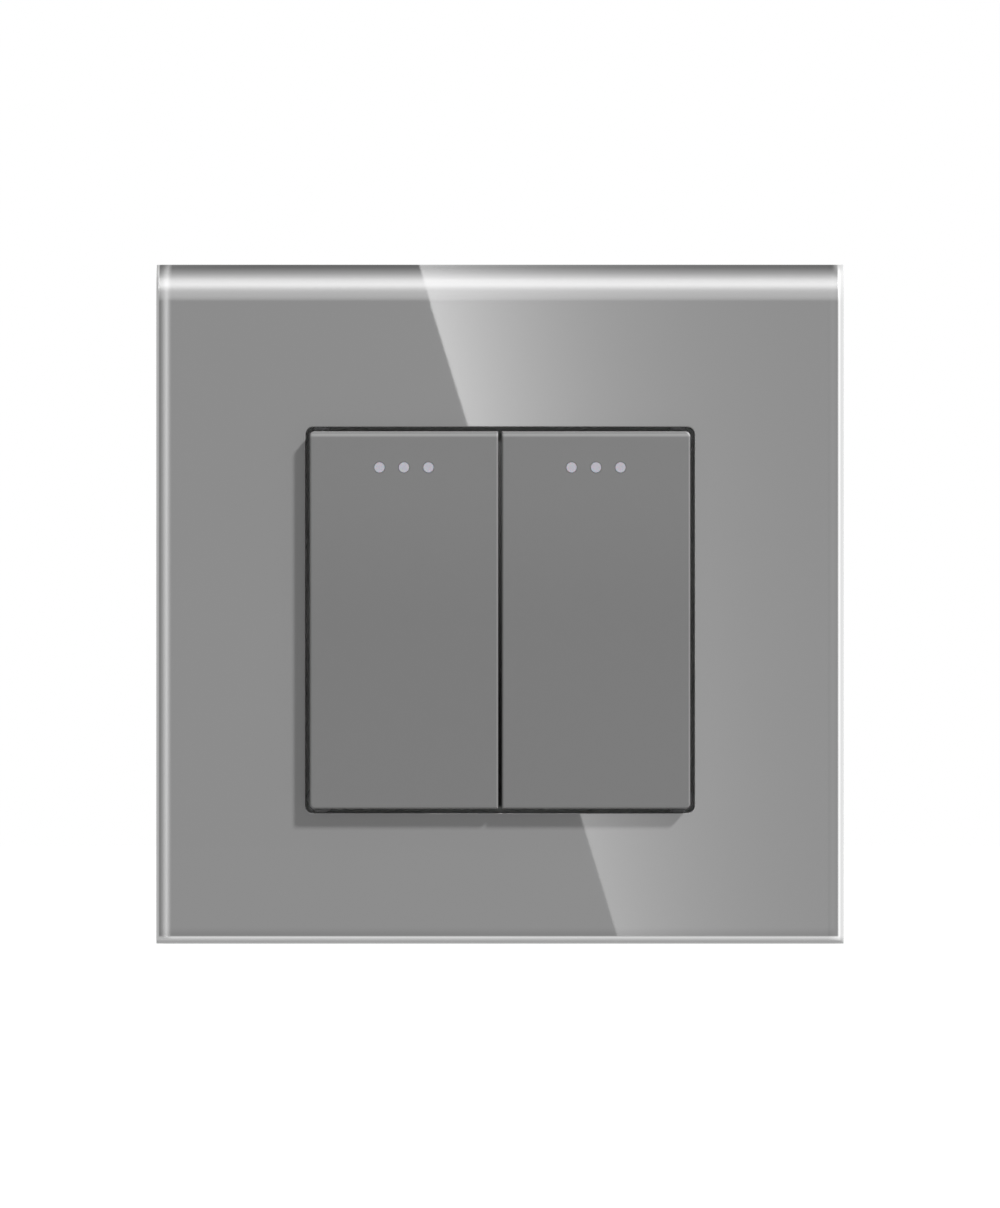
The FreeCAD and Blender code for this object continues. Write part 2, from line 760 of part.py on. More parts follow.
def make_cover_screws():
    """Four cross-slotted screws that hold the bearing cover on the base."""
    screws = []
    head_back = "cover_front - cover_screw_head_height"
    floor = "cover_front - cover_screw_head_height / 2"
    for _, hand in GANGS:
        for _, way in ENDS:
            x, z = f"{hand} * cover_screw_x", f"{way} * cover_screw_z"
            head = rod("cover_screw_head", "cover_screw_head_radius", x, z, head_back, "cover_front")
            shank = rod("cover_screw_shank", "cover_screw_radius", x, z,
                        "cover_front - cover_screw_length", head_back)
            level = cross_slot(x, z, "cover_screw_cross", "screw_slot / 2", floor)
            upright = cross_slot(x, z, "screw_slot / 2", "cover_screw_cross", floor)
            solid = joined("cover_screw_solid", head, shank)
            screws.append(cut_away("cover_screw", solid, joined("cover_screw_cross", level, upright)))
    group("cover_screws", screws)


def cross_slot(x, z, half_width, half_height, floor):
    """One of the two slots of a screw's cross."""
    return block("cover_screw_slot", f"{x} - {half_width}", f"{x} + {half_width}", floor, "cover_front",
                 f"{z} - {half_height}", f"{z} + {half_height}")


def make_plate_rivets():
    """Four rivets that hold the base's flange on the steel plate, flush with the wall."""
    rivets = []
    for _, hand in GANGS:
        for _, way in ENDS:
            x, z = f"{hand} * rivet_x", f"{way} * rivet_z"
            head = rod("rivet_head", "rivet_head_radius", x, z, "flange_front",
                       "flange_front + rivet_head_height")
            shank = rod("rivet_shank", "rivet_radius", x, z, "0", "flange_front")
            tail = cone("rivet_tail", "rivet_radius + rivet_countersink", "rivet_radius", x, z,
                        "0", "rivet_countersink")
            rivets.append(joined("rivet", joined("rivet_front", head, shank), tail))
    group("plate_rivets", rivets)


# Pieces of one gang, made about x = 0 and then moved to the gang's middle


def at_gang(piece, hand):
    """Moves a piece to the middle of the left or the right gang."""
    put(piece, f"{hand} * gang_x", "0", "0")


def at_terminals(piece, hand):
    """Moves a piece to the middle of the left or the right gang's terminals."""
    put(piece, f"{hand} * terminal_x", "0", "0")


def make_key(gang, hand):
    """A key with a thin skirt, set back beside the other key, and two hooks behind."""
    body = new_body(f"{gang}_key")
    side, rise = "key_width / 2", "key_height / 2"
    add(body, "slab", "front", "key_back", "key_front", [centred(side, rise)])
    outer_side = hand * value("key_width") / 2
    round_edges(
        body, "corners", "key_corner",
        lambda edge: runs_to_room(edge) and abs(edge.BoundBox.XMin - outer_side) < NEAR,
    )
    front = value("key_front")
    round_edges(body, "edges", "key_edge_round", lambda edge: lies_at_front(edge, front))
    cut(body, "set_back", "front", "key_back", "key_inside",
        [rectangle(*span(-hand, f"{side} - key_set_back", side), f"-({rise})", rise)])
    inner_wall, outer_wall = f"{side} - key_set_back - key_skirt", f"{side} - key_skirt"
    left, right = (inner_wall, outer_wall) if hand > 0 else (outer_wall, inner_wall)
    cut(body, "hollow", "front", "key_back", "key_inside",
        [rectangle(f"-({left})", right, f"key_skirt - {rise}", f"{rise} - key_skirt")])
    for _, way in ENDS:
        add_hook(body, way)
    cut(body, "dot_holes", "front", "key_inside", "key_front", three_dots("dot_radius + dot_clearance"))
    at_gang(body, hand)


def add_hook(body, way):
    """A hook behind the key that grips one end of the actuator's plate."""
    half = "hook_width / 2"
    leg_near = "actuator_height / 2 + hook_clearance"
    leg = span(way, leg_near, f"{leg_near} + hook_thickness")
    barb = span(way, "actuator_height / 2 - hook_barb", leg_near)
    foot = "key_inside - actuator_plate - hook_clearance"
    add(body, "hook", "front", f"{foot} - hook_height", "key_inside", [rectangle(f"-{half}", half, *leg)])
    add(body, "barb", "front", f"{foot} - hook_height", foot, [rectangle(f"-{half}", half, *barb)])


def three_dots(radius):
    """The outlines of a key's three locator dots."""
    return [circle(f"{step} * dot_pitch", "dot_z", radius) for step in (-1, 0, 1)]


def make_locator_dots(gang, hand):
    """One translucent moulding: a bar behind the key's face with three pips through it."""
    body = new_body(f"{gang}_locator_dots")
    half = "dot_pitch + dot_bar_end"
    add(body, "bar", "front", "key_inside - dot_bar_thickness", "key_inside",
        [rectangle(f"-({half})", half, "dot_z - dot_bar_height / 2", "dot_z + dot_bar_height / 2")])
    add(body, "pips", "front", "key_inside", "key_front", three_dots("dot_radius"))
    at_gang(body, hand)


def make_actuator(gang, hand):
    """The rocking piece under a key: plate, hub, two trunnions and a hollow stem."""
    body = new_body(f"{gang}_actuator")
    side = "actuator_half_width"
    plate_back = "key_inside - actuator_plate"
    add(body, "plate", "front", plate_back, "key_inside", [centred(side, "actuator_height / 2")])
    add(body, "hub", "front", "pivot_front - hub_below_pivot", plate_back, [centred(side, "hub_height / 2")])
    add(body, "trunnions", "side", "-trunnion_end", "trunnion_end",
        [circle("-pivot_front", "0", "trunnion_radius")])
    add(body, "stem", "front", "stem_mouth", "pivot_front", [circle("0", "-stem_drop", "stem_radius")])
    cut(body, "bore", "front", "stem_mouth", "bore_end", [circle("0", "-stem_drop", "bore_radius")])
    at_gang(body, hand)


def make_plunger(gang, hand):
    """A pin with a round nose that slides in the stem."""
    nose = doc.addObject("Part::Sphere", f"{gang}_plunger_nose")
    bind(nose, "Radius", "plunger_radius")
    put(nose, "0", "-(plunger_front + plunger_radius)", "-stem_drop")
    shank = rod(f"{gang}_plunger_shank", "plunger_radius", "0", "-stem_drop",
                "plunger_front + plunger_radius", "plunger_rear")
    at_gang(keep(joined(f"{gang}_plunger", nose, shank), f"{gang}_plunger"), hand)


def make_plunger_spring(gang, hand):
    """A compression spring between the bottom of the bore and the plunger."""
    spring = keep(doc.addObject("Part::Feature", f"{gang}_plunger_spring"), f"{gang}_plunger_spring")
    low = value("plunger_rear") + value("spring_end_gap") + value("spring_wire_radius")
    high = value("bore_end") - value("spring_end_gap") - value("spring_wire_radius")
    spring.Shape = coil(
        value("spring_radius"), value("spring_wire_radius"), value("spring_turns"), high - low
    )
    place = FreeCAD.Vector(hand * value("gang_x"), -low, -value("stem_drop"))
    spring.Placement = FreeCAD.Placement(place, TO_ROOM)


PI = 3.141592653589793
COMPASS = [FreeCAD.Vector(*point, 0) for point in ((1, 0), (0, 1), (-1, 0), (0, -1))]


def coil(radius, wire, turns, height):
    """A wire along a helix, as a pair of arcs for each quarter turn."""
    rise = height / turns
    slope = FreeCAD.Vector(0, 0, rise / (2 * PI))
    quarters = round(4 * turns)

    def at(quarter):
        around = COMPASS[quarter % 4]
        ahead = FreeCAD.Vector(-around.y, around.x, 0) * radius + slope
        return around * radius + FreeCAD.Vector(0, 0, rise * quarter / 4), ahead.normalize()

    edges = []
    for quarter in range(quarters):
        edges += two_arcs(*at(quarter), *at(quarter + 1))
    start, direction = at(0)
    section = Part.Wire(Part.makeCircle(wire, start, direction))
    path = Part.Wire(edges)
    print(f"spring: least gap between turns {least_gap(path, quarters) - 2 * wire:.2f} mm")
    return path.makePipeShell([section], True, False)


def least_gap(path, quarters):
    """The least distance between two points of a coil's line that lie half a turn apart or more."""
    points_per_quarter = 24
    points = path.discretize(points_per_quarter * quarters)
    return min(
        (one - other).Length
        for place, one in enumerate(points)
        for other in points[place + 2 * points_per_quarter:]
    )


def two_arcs(start, start_way, end, end_way):
    """Two arcs that leave one point and reach another in given directions."""
    gap = end - start
    both = start_way + end_way
    spread = 2 * (1 - start_way.dot(end_way))
    along = gap.dot(both)
    reach = (-along + (along**2 + spread * gap.Length**2) ** 0.5) / spread
    first_corner = start + start_way * reach
    second_corner = end - end_way * reach
    middle = (first_corner + second_corner) / 2
    return [arc_by_corner(start, first_corner, middle), arc_by_corner(middle, second_corner, end)]


def arc_by_corner(start, corner, end):
    """The arc that touches both sides of a corner at its two ends."""
    chord = (start + end) / 2
    half_turn = (corner - start).getAngle(end - corner) / 2
    through = corner + (chord - corner) / (1 + cosine(half_turn))
    return Part.Arc(start, through, end).toShape()


def cosine(angle):
    """The cosine, from a unit vector turned by the angle in radians."""
    return FreeCAD.Rotation(FreeCAD.Vector(0, 0, 1), angle * 180 / PI).multVec(FreeCAD.Vector(1, 0, 0)).x


def on_fulcrum(piece, hand):
    """Puts a piece of the contact blade on the fulcrum, tilted as the level key leaves it."""
    put(piece, f"{hand} * gang_x", "-blade_axis", "0", FreeCAD.Rotation(FreeCAD.Vector(1, 0, 0), 1))
    bind(piece, "Placement.Rotation.Angle", "blade_tilt")


def make_contact_blade(gang, hand):
    """A copper bar that rocks on the fulcrum, with a hole for each contact's shank."""
    body = new_body(f"{gang}_contact_blade")
    add(body, "bar", "front", "0", "blade_thickness", [centred("blade_width / 2", "blade_length / 2")])
    hole = "contact_shank_radius + thread_clearance"
    cut(body, "holes", "front", "0", "blade_thickness",
        [circle("0", f"{way} * contact_arm", hole) for _, way in ENDS])
    on_fulcrum(body, hand)


def make_blade_contacts(gang, hand):
    """Two domed silver contacts on the back of the blade."""
    contacts = []
    for _, way in ENDS:
        z = f"{way} * contact_arm"
        ball = doc.addObject("Part::Sphere", f"{gang}_contact_ball")
        bind(ball, "Radius", "contact_dome_radius")
        put(ball, "0", "-dome_lift", z)
        core = rod(f"{gang}_contact_core", "contact_radius", "0", z, "-contact_dome_radius", "0")
        head = doc.addObject("Part::Common", f"{gang}_contact_head")
        head.Base, head.Tool = ball, core
        shank = rod(f"{gang}_contact_shank", "contact_shank_radius", "0", z, "0", "blade_thickness")
        contacts.append(joined(f"{gang}_blade_contact", head, shank))
    on_fulcrum(group(f"{gang}_blade_contacts", contacts), hand)


def make_common_strip(gang, hand):
    """The brass strip that joins the fulcrum to the common terminal."""
    body = new_body(f"{gang}_common_strip")
    half, foot = "blade_width / 2", "strip_bridge / 2"
    inner = "fixed_contact_radius + strip_margin + strip_gap"
    outer = f"terminal_half + {hand} * (terminal_x - gang_x)"
    add(body, "bridge", "front", "deck_front", "strip_front",
        [rectangle(f"-{half}", outer, f"-{foot}", foot)])
    add(body, "tail", "front", "deck_front", "strip_front",
        [rectangle(inner, outer, f"-{foot}", "block_outer")])
    tip = "fulcrum_gap - blade_axis"
    add(body, "fulcrum", "side", f"-{half}", half, [polygon([
        ("-strip_front", "-fulcrum_half"),
        ("-strip_front", "fulcrum_half"),
        (f"{tip} + fulcrum_half", "fulcrum_half"),
        (tip, "0"),
        (f"{tip} + fulcrum_half", "-fulcrum_half"),
    ])])
    at_gang(body, hand)


def make_contact_strip(gang, hand, name, way):
    """The brass strip that joins the upper or the lower fixed contact to its terminal."""
    body = new_body(f"{gang}_{name}_strip")
    outer = f"{hand} * (terminal_x - gang_x) - terminal_half"
    heights = span(way, "contact_z - fixed_contact_radius - strip_margin", "block_outer")
    add(body, "sheet", "front", "deck_front", "strip_front",
        [rectangle(outer, "fixed_contact_radius + strip_margin", *heights)])
    at_gang(body, hand)


def make_fixed_contacts(gang, hand):
    """Two silver contacts on the upper and the lower strip."""
    contacts = [
        rod(f"{gang}_fixed_contact", "fixed_contact_radius", "0", f"{way} * contact_z", "strip_front",
            "fixed_contact_front")
        for _, way in ENDS
    ]
    at_gang(group(f"{gang}_fixed_contacts", contacts), hand)


def terminal_block(tag, across, way):
    """A brass block with a bore for the wire and a threaded hole for its screw."""
    half = "block_width / 2"
    body = block(f"{tag}_block_body", f"{across} - {half}", f"{across} + {half}",
                 "block_back", "deck_front", *span(way, "block_inner", "block_outer"))
    bore = rod(f"{tag}_wire_bore", "wire_radius", across, f"{way} * wire_z", "block_back",
               "block_back + wire_depth")
    thread = post(f"{tag}_thread", "screw_thread_radius + thread_clearance", across, "screw_front",
                  *span(way, "wire_z", "block_outer"))
    return cut_away(f"{tag}_terminal_block", body, joined(f"{tag}_block_holes", bore, thread))


def terminal_screw(tag, across, way):
    """The slotted screw that clamps a wire in its block."""
    shank = post(f"{tag}_screw_shank", "screw_thread_radius", across, "screw_front",
                 *span(way, "screw_tip", "screw_head_low"))
    head = post(f"{tag}_screw_head", "screw_head_radius", across, "screw_front",
                *span(way, "screw_head_low", "screw_head_high"))
    slot = block(f"{tag}_screw_slot", f"{across} - screw_head_radius", f"{across} + screw_head_radius",
                 "screw_front - screw_slot / 2", "screw_front + screw_slot / 2",
                 *span(way, "screw_head_low + screw_head_height / 2", "screw_head_high"))
    return cut_away(f"{tag}_terminal_screw", joined(f"{tag}_screw_solid", shank, head), slot)


def make_terminals(gang, hand):
    """A gang's three terminal blocks and their screws."""
    blocks = [terminal_block(f"{gang}_{name}", across, way) for name, across, way in TERMINALS]
    screws = [terminal_screw(f"{gang}_{name}", across, way) for name, across, way in TERMINALS]
    at_terminals(group(f"{gang}_terminal_blocks", blocks), hand)
    at_terminals(group(f"{gang}_terminal_screws", screws), hand)


def make_gang(gang, hand):
    """Everything that one key works."""
    make_key(gang, hand)
    make_locator_dots(gang, hand)
    make_actuator(gang, hand)
    make_plunger(gang, hand)
    make_plunger_spring(gang, hand)
    make_contact_blade(gang, hand)
    make_blade_contacts(gang, hand)
    make_common_strip(gang, hand)
    make_contact_strip(gang, hand, "upper", 1)
    make_contact_strip(gang, hand, "lower", -1)
    make_fixed_contacts(gang, hand)
    make_terminals(gang, hand)


def check_and_export():
    """Stops at a failed object, and otherwise writes each piece to its own file."""
    doc.recompute()
    failed = [thing.Name for thing in doc.Objects if {"Invalid", "Error"} & set(thing.State)]
    if failed:
        raise RuntimeError(f"these objects failed: {failed}")
    os.makedirs("parts", exist_ok=True)
    for piece in PIECES:
        shape = piece.Shape
        if shape.isNull() or not shape.isValid():
            raise RuntimeError(f"{piece.Label} has no valid shape")
        shape.exportStep(f"parts/{piece.Label}.step")
        print(f"{piece.Label}: {len(shape.Solids)} solid(s), {shape.Volume:.1f} mm3")


make_glass_panel()
make_bonding_tape()
make_carrier_frame()
make_mounting_plate()
make_base_housing()
make_bearing_cover()
make_cover_screws()
make_plate_rivets()
for gang_name, gang_hand in GANGS:
    make_gang(gang_name, gang_hand)
check_and_export()
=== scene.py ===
import json
import math

import bmesh
import bpy
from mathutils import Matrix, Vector


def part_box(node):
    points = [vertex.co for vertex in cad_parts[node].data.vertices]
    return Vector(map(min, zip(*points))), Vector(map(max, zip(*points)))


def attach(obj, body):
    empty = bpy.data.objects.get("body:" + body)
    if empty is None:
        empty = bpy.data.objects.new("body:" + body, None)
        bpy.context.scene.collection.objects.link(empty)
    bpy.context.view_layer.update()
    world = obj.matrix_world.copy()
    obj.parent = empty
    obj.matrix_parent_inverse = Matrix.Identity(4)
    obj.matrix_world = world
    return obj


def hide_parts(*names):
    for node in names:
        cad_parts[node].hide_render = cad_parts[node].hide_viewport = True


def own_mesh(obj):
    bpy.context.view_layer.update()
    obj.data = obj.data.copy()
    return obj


# A double light switch for one wall box: two satin keys in the opening of a grey glass panel.
# The wall is the plane y = 0, the room is on its -Y side and +Z is up. Lengths are in metres.

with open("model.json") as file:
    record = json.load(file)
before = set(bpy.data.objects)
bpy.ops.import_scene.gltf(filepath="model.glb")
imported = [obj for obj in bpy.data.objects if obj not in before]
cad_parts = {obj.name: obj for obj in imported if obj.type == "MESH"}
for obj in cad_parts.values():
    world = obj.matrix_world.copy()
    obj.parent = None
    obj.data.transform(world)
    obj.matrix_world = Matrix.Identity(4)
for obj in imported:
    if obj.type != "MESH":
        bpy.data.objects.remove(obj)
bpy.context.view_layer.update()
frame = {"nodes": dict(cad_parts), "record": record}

MM = 0.001

# The photograph's height in pixels, and how many of them make a millimetre on the panel
PHOTO_HEIGHT = 1208
PIXELS_PER_MM = 8.0

panel_low, panel_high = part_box("glass_panel")
PANEL_FRONT = panel_low.y
PANEL_BACK = panel_high.y
PANEL_MIDDLE_Z = (panel_low.z + panel_high.z) / 2

# The glass: a broad round along its upper edge, narrow ones along the others, and the opening for the keys
TOP_ROUND_HEIGHT = 4.8 * MM
TOP_ROUND_DEPTH = 3.2 * MM
TOP_ROUND_RADIUS = (TOP_ROUND_HEIGHT ** 2 + TOP_ROUND_DEPTH ** 2) / (2 * TOP_ROUND_DEPTH)
SIDE_ROUND_WIDTH = 2.0 * MM
BOTTOM_ROUND_WIDTH = 1.0 * MM
EDGE_ROUND_DEPTH = 1.0 * MM
OPENING_HALF_WIDTH = 24.3 * MM
OPENING_HALF_HEIGHT = 24.1 * MM
OPENING_CORNER = 0.9 * MM
OPENING_ARRIS = 0.14 * MM


# Nodes of a material

# How much finer structure the noise has in soft clouds, in grains and in the clouds on metal
CLOUD_DETAIL = 2.0
GRAIN_DETAIL = 3.0
METAL_DETAIL = 4.0

# Sockets of a Mix node that mixes colours: its share, its two colours and its result
MIX_SHARE = 0
MIX_FIRST = 6
MIX_SECOND = 7
MIX_RESULT = 2


def add_node(tree, kind, inputs=None, **settings):
    """A node with its settings; each input takes a number, a colour or another node's socket."""
    node = tree.nodes.new(kind)
    for name, setting in settings.items():
        setattr(node, name, setting)
    for name, source in (inputs or {}).items():
        if isinstance(source, bpy.types.NodeSocket):
            tree.links.new(source, node.inputs[name])
        else:
            node.inputs[name].default_value = source
    return node


def new_material(name):
    """An empty material and its node tree."""
    material = bpy.data.materials.new(name)
    material.use_nodes = True
    material.node_tree.nodes.clear()
    return material, material.node_tree


def surface(tree, **inputs):
    """The principled shader and the material's output; spaces of an input's name are written as _."""
    named = {name.replace("_", " "): source for name, source in inputs.items()}
    shader = add_node(tree, "ShaderNodeBsdfPrincipled", named)
    add_node(tree, "ShaderNodeOutputMaterial", {"Surface": shader.outputs["BSDF"]})


def place_of(tree):
    """The place on the object, in metres."""
    return add_node(tree, "ShaderNodeTexCoord").outputs["Object"]


def axis_of(tree, vector, axis):
    """One coordinate of a vector."""
    return add_node(tree, "ShaderNodeSeparateXYZ", {"Vector": vector}).outputs[axis]


def calculate(tree, operation, first, second=0.0):
    """The result of a sum on one or two numbers."""
    return add_node(tree, "ShaderNodeMath", {0: first, 1: second}, operation=operation).outputs[0]


def spread(tree, number, from_low, from_high, to_low, to_high):
    """A number moved from one range to another, with soft ends."""
    node = add_node(
        tree, "ShaderNodeMapRange",
        {"Value": number, "From Min": from_low, "From Max": from_high, "To Min": to_low, "To Max": to_high},
        interpolation_type="SMOOTHSTEP",
    )
    return node.outputs["Result"]


def rise(tree, number, start, end):
    """A share that grows from 0 where a number is at the start to 1 where it is at the end."""
    return spread(tree, number, start, end, 0.0, 1.0)


def fall(tree, number, start, end):
    """A share that falls from 1 where a number is at the start to 0 where it is at the end."""
    return spread(tree, number, start, end, 1.0, 0.0)


def blend(tree, share, first, second):
    """A colour between two others, each given as a colour or a socket."""
    sources = {MIX_SHARE: share, MIX_FIRST: first, MIX_SECOND: second}
    return add_node(tree, "ShaderNodeMix", sources, data_type="RGBA").outputs[MIX_RESULT]


def grain(tree, size, detail=GRAIN_DETAIL, stretch=None):
    """Noise whose grains have a size in metres; a low number in stretch makes them long along that axis."""
    place = place_of(tree)
    if stretch:
        place = add_node(tree, "ShaderNodeMapping", {"Vector": place, "Scale": stretch}).outputs["Vector"]
    noise = add_node(tree, "ShaderNodeTexNoise", {"Vector": place, "Scale": 1.0 / size, "Detail": detail})
    return noise.outputs["Fac"]


def relief(tree, height, depth):
    """The shading normal of a height that varies from 0 to 1 over a depth in metres."""
    return add_node(tree, "ShaderNodeBump", {"Height": height, "Distance": depth}).outputs["Normal"]


def seen_by(tree, *rays):
    """1 for these kinds of ray and 0 for all others."""
    path = add_node(tree, "ShaderNodeLightPath").outputs
    seen = path[rays[0]]
    for ray in rays[1:]:
        seen = calculate(tree, "MAXIMUM", seen, path[ray])
    return seen


def grey(level, warm=0.0):
    """A grey, or one a little warm."""
    return (level * (1 + warm), level, level * (1 - warm), 1.0)


# Material of the glass

GLASS_GREY = grey(0.229)
GLASS_CLOUD = grey(0.233)
GLASS_CLOUD_SIZE = 9 * MM
# Painted shade: the top round turns dark towards the upper edge, and strips beside the right and the lower
# rim are darker
GLASS_TOP_SHADE = grey(0.01)
GLASS_SHADE = grey(0.185)
GLASS_ROUGHNESS = 0.008
GLASS_IOR = 1.5
TOP_SHADE_HEIGHT = 1.5 * MM
SHADE_RIGHT = 0.8 * MM
SHADE_BOTTOM = 1.3 * MM

# The sides of the glass behind its front edge, faintly green
GLASS_SIDE = (0.36, 0.42, 0.40, 1.0)

# Painted highlight: the pale rim along the left, right and lower edges, with painted shade in a darker
# outermost line and a darker upper end
RIM_HIGHLIGHT = grey(0.75)
RIM_OUTER_SHADE = grey(0.52)
RIM_UPPER_SHADE = grey(0.40)
RIM_LEFT = 0.36 * MM
RIM_RIGHT = 0.72 * MM
RIM_BOTTOM = 0.95 * MM
RIM_BLUR = 0.12 * MM
RIM_DEPTH = 1.1 * MM
RIM_OUTER_WIDTH = 0.3 * MM
RIM_UPPER_HEIGHT = 1.3 * MM


def paint_and_painted_shade(tree, right, low, high):
    """The grey paint behind the glass, with painted shade: dark along the upper edge and darker beside the
    right and the lower rim.
    """
    colour = blend(tree, grain(tree, GLASS_CLOUD_SIZE, CLOUD_DETAIL), GLASS_GREY, GLASS_CLOUD)
    colour = blend(tree, fall(tree, high, 0.0, TOP_SHADE_HEIGHT), colour, GLASS_TOP_SHADE)
    for distance, width, shade in ((right, RIM_RIGHT, SHADE_RIGHT), (low, RIM_BOTTOM, SHADE_BOTTOM)):
        colour = blend(tree, fall(tree, distance, width, width + shade), colour, GLASS_SHADE)
    return colour


def rim_highlight_colour(tree, right, low, high):
    """The painted highlight of the rim, with painted shade in its outermost line and at its upper end, from
    the distances to the right, the lower and the upper edge.
    """
    outermost = calculate(tree, "MINIMUM", right, low)
    rim = blend(tree, fall(tree, outermost, RIM_OUTER_WIDTH, 2 * RIM_OUTER_WIDTH), RIM_HIGHLIGHT, RIM_OUTER_SHADE)
    return blend(tree, fall(tree, high, 0.0, RIM_UPPER_HEIGHT), rim, RIM_UPPER_SHADE)


def glass_material():
    """Polished glass painted grey on its back, with a painted highlight along its edges and painted shade at
    its upper edge.
    """
    material, tree = new_material("grey_glass")
    place = place_of(tree)
    across = axis_of(tree, place, "X")
    up = axis_of(tree, place, "Z")
    left = calculate(tree, "SUBTRACT", across, panel_low.x)
    right = calculate(tree, "SUBTRACT", panel_high.x, across)
    low = calculate(tree, "SUBTRACT", up, panel_low.z)
    high = calculate(tree, "SUBTRACT", panel_high.z, up)
    colour = paint_and_painted_shade(tree, right, low, high)
    rim = rim_highlight_colour(tree, right, low, high)
    # Painted highlight along the left, right and lower edges
    for distance, width in ((left, RIM_LEFT), (right, RIM_RIGHT), (low, RIM_BOTTOM)):
        colour = blend(tree, fall(tree, distance, width - RIM_BLUR, width + RIM_BLUR), colour, rim)
    behind = calculate(tree, "SUBTRACT", axis_of(tree, place, "Y"), PANEL_FRONT)
    side = calculate(
        tree, "MULTIPLY", rise(tree, behind, RIM_DEPTH, RIM_DEPTH + RIM_BLUR),
        rise(tree, high, TOP_ROUND_HEIGHT, 2 * TOP_ROUND_HEIGHT))
    surface(
        tree, Base_Color=blend(tree, side, colour, GLASS_SIDE), Roughness=GLASS_ROUGHNESS, IOR=GLASS_IOR)
    return material


# Materials of the plastics

PLASTIC_CLOUD_SIZE = 6 * MM
PLASTIC_UNEVEN = 0.06

# The noise seldom leaves this range, so that the gloss takes its whole range within it
NOISE_LOW = 0.3
NOISE_HIGH = 0.7


def grained_surface(tree, colour, roughness, uneven, grain_size, depth):
    """A moulded surface with fine grains and a gloss that is uneven with them."""
    fine = grain(tree, grain_size)
    gloss = spread(tree, fine, NOISE_LOW, NOISE_HIGH, roughness - uneven, roughness + uneven)
    surface(tree, Base_Color=colour, Roughness=gloss, Normal=relief(tree, fine, depth))


def moulded(name, colour, paler, roughness, grain_size, depth):
    """Moulded plastic with fine grains, a slight cloudiness and uneven gloss."""
    material, tree = new_material(name)
    shade = blend(tree, grain(tree, PLASTIC_CLOUD_SIZE, CLOUD_DETAIL), colour, paler)
    grained_surface(tree, shade, roughness, PLASTIC_UNEVEN, grain_size, depth)
    return material


# Painted light: the key's face is paler towards its top, as if lit more from above
KEY_UPPER = grey(0.198)
KEY_LOWER = grey(0.180)
KEY_UPPER_Z = 20 * MM
KEY_LOWER_Z = -2 * MM
KEY_ROUGHNESS = 0.45
KEY_UNEVEN = 0.05
KEY_GRAIN = 0.12 * MM
KEY_GRAIN_DEPTH = 0.004 * MM

# A painted highlight: the pale line below the key's upper edge, by the distance from that edge
KEY_EDGE_HIGHLIGHT = grey(0.36)
KEY_EDGE_LOW = 0.8 * MM
KEY_EDGE_MIDDLE = 0.42 * MM
KEY_EDGE_HIGH = 0.1 * MM
key_top_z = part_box("left_key")[1].z


def key_material():
    """Satin grey plastic, with painted light that makes it paler towards the top of the key, and a painted
    highlight along its upper edge.
    """
    material, tree = new_material("key_plastic")
    up = axis_of(tree, place_of(tree), "Z")
    colour = blend(tree, rise(tree, up, KEY_LOWER_Z, KEY_UPPER_Z), KEY_LOWER, KEY_UPPER)
    below = calculate(tree, "SUBTRACT", key_top_z, up)
    # Painted highlight along the key's upper edge
    line = calculate(
        tree, "MULTIPLY", fall(tree, below, KEY_EDGE_MIDDLE, KEY_EDGE_LOW),
        rise(tree, below, KEY_EDGE_HIGH, KEY_EDGE_MIDDLE))
    colour = blend(tree, line, colour, KEY_EDGE_HIGHLIGHT)
    grained_surface(tree, colour, KEY_ROUGHNESS, KEY_UNEVEN, KEY_GRAIN, KEY_GRAIN_DEPTH)
    return material


DOT_VIOLET = (0.465, 0.455, 0.51, 1)
DOT_CLOUD = (0.505, 0.495, 0.55, 1)
DOT_CLOUD_SIZE = 0.4 * MM
DOT_ROUGHNESS = 0.3
DOT_MILKINESS = 0.3
DOT_REACH = 0.4 * MM


def dot_material():
    """Milky translucent plastic, faintly violet."""
    material, tree = new_material("dot_plastic")
    colour = blend(tree, grain(tree, DOT_CLOUD_SIZE, CLOUD_DETAIL), DOT_VIOLET, DOT_CLOUD)
    surface(
        tree, Base_Color=colour, Roughness=DOT_ROUGHNESS,
        Subsurface_Weight=DOT_MILKINESS, Subsurface_Scale=DOT_REACH)
    return material


COVER_GREY = grey(0.80)
COVER_CLOUD = grey(0.84)
COVER_ROUGHNESS = 0.5
COVER_GRAIN = 0.12 * MM
COVER_GRAIN_DEPTH = 0.01 * MM

# Painted shade on the cover's rib between the keys, darkest at its lower end
RIB_SHADE_LOW = grey(0.07)
RIB_SHADE_TOP = grey(0.75)
RIB_LOW_Z = -20 * MM
RIB_TOP_Z = 30 * MM
RIB_REACH = 0.6 * MM
RIB_END = 23.2 * MM
RIB_FADE = 0.4 * MM


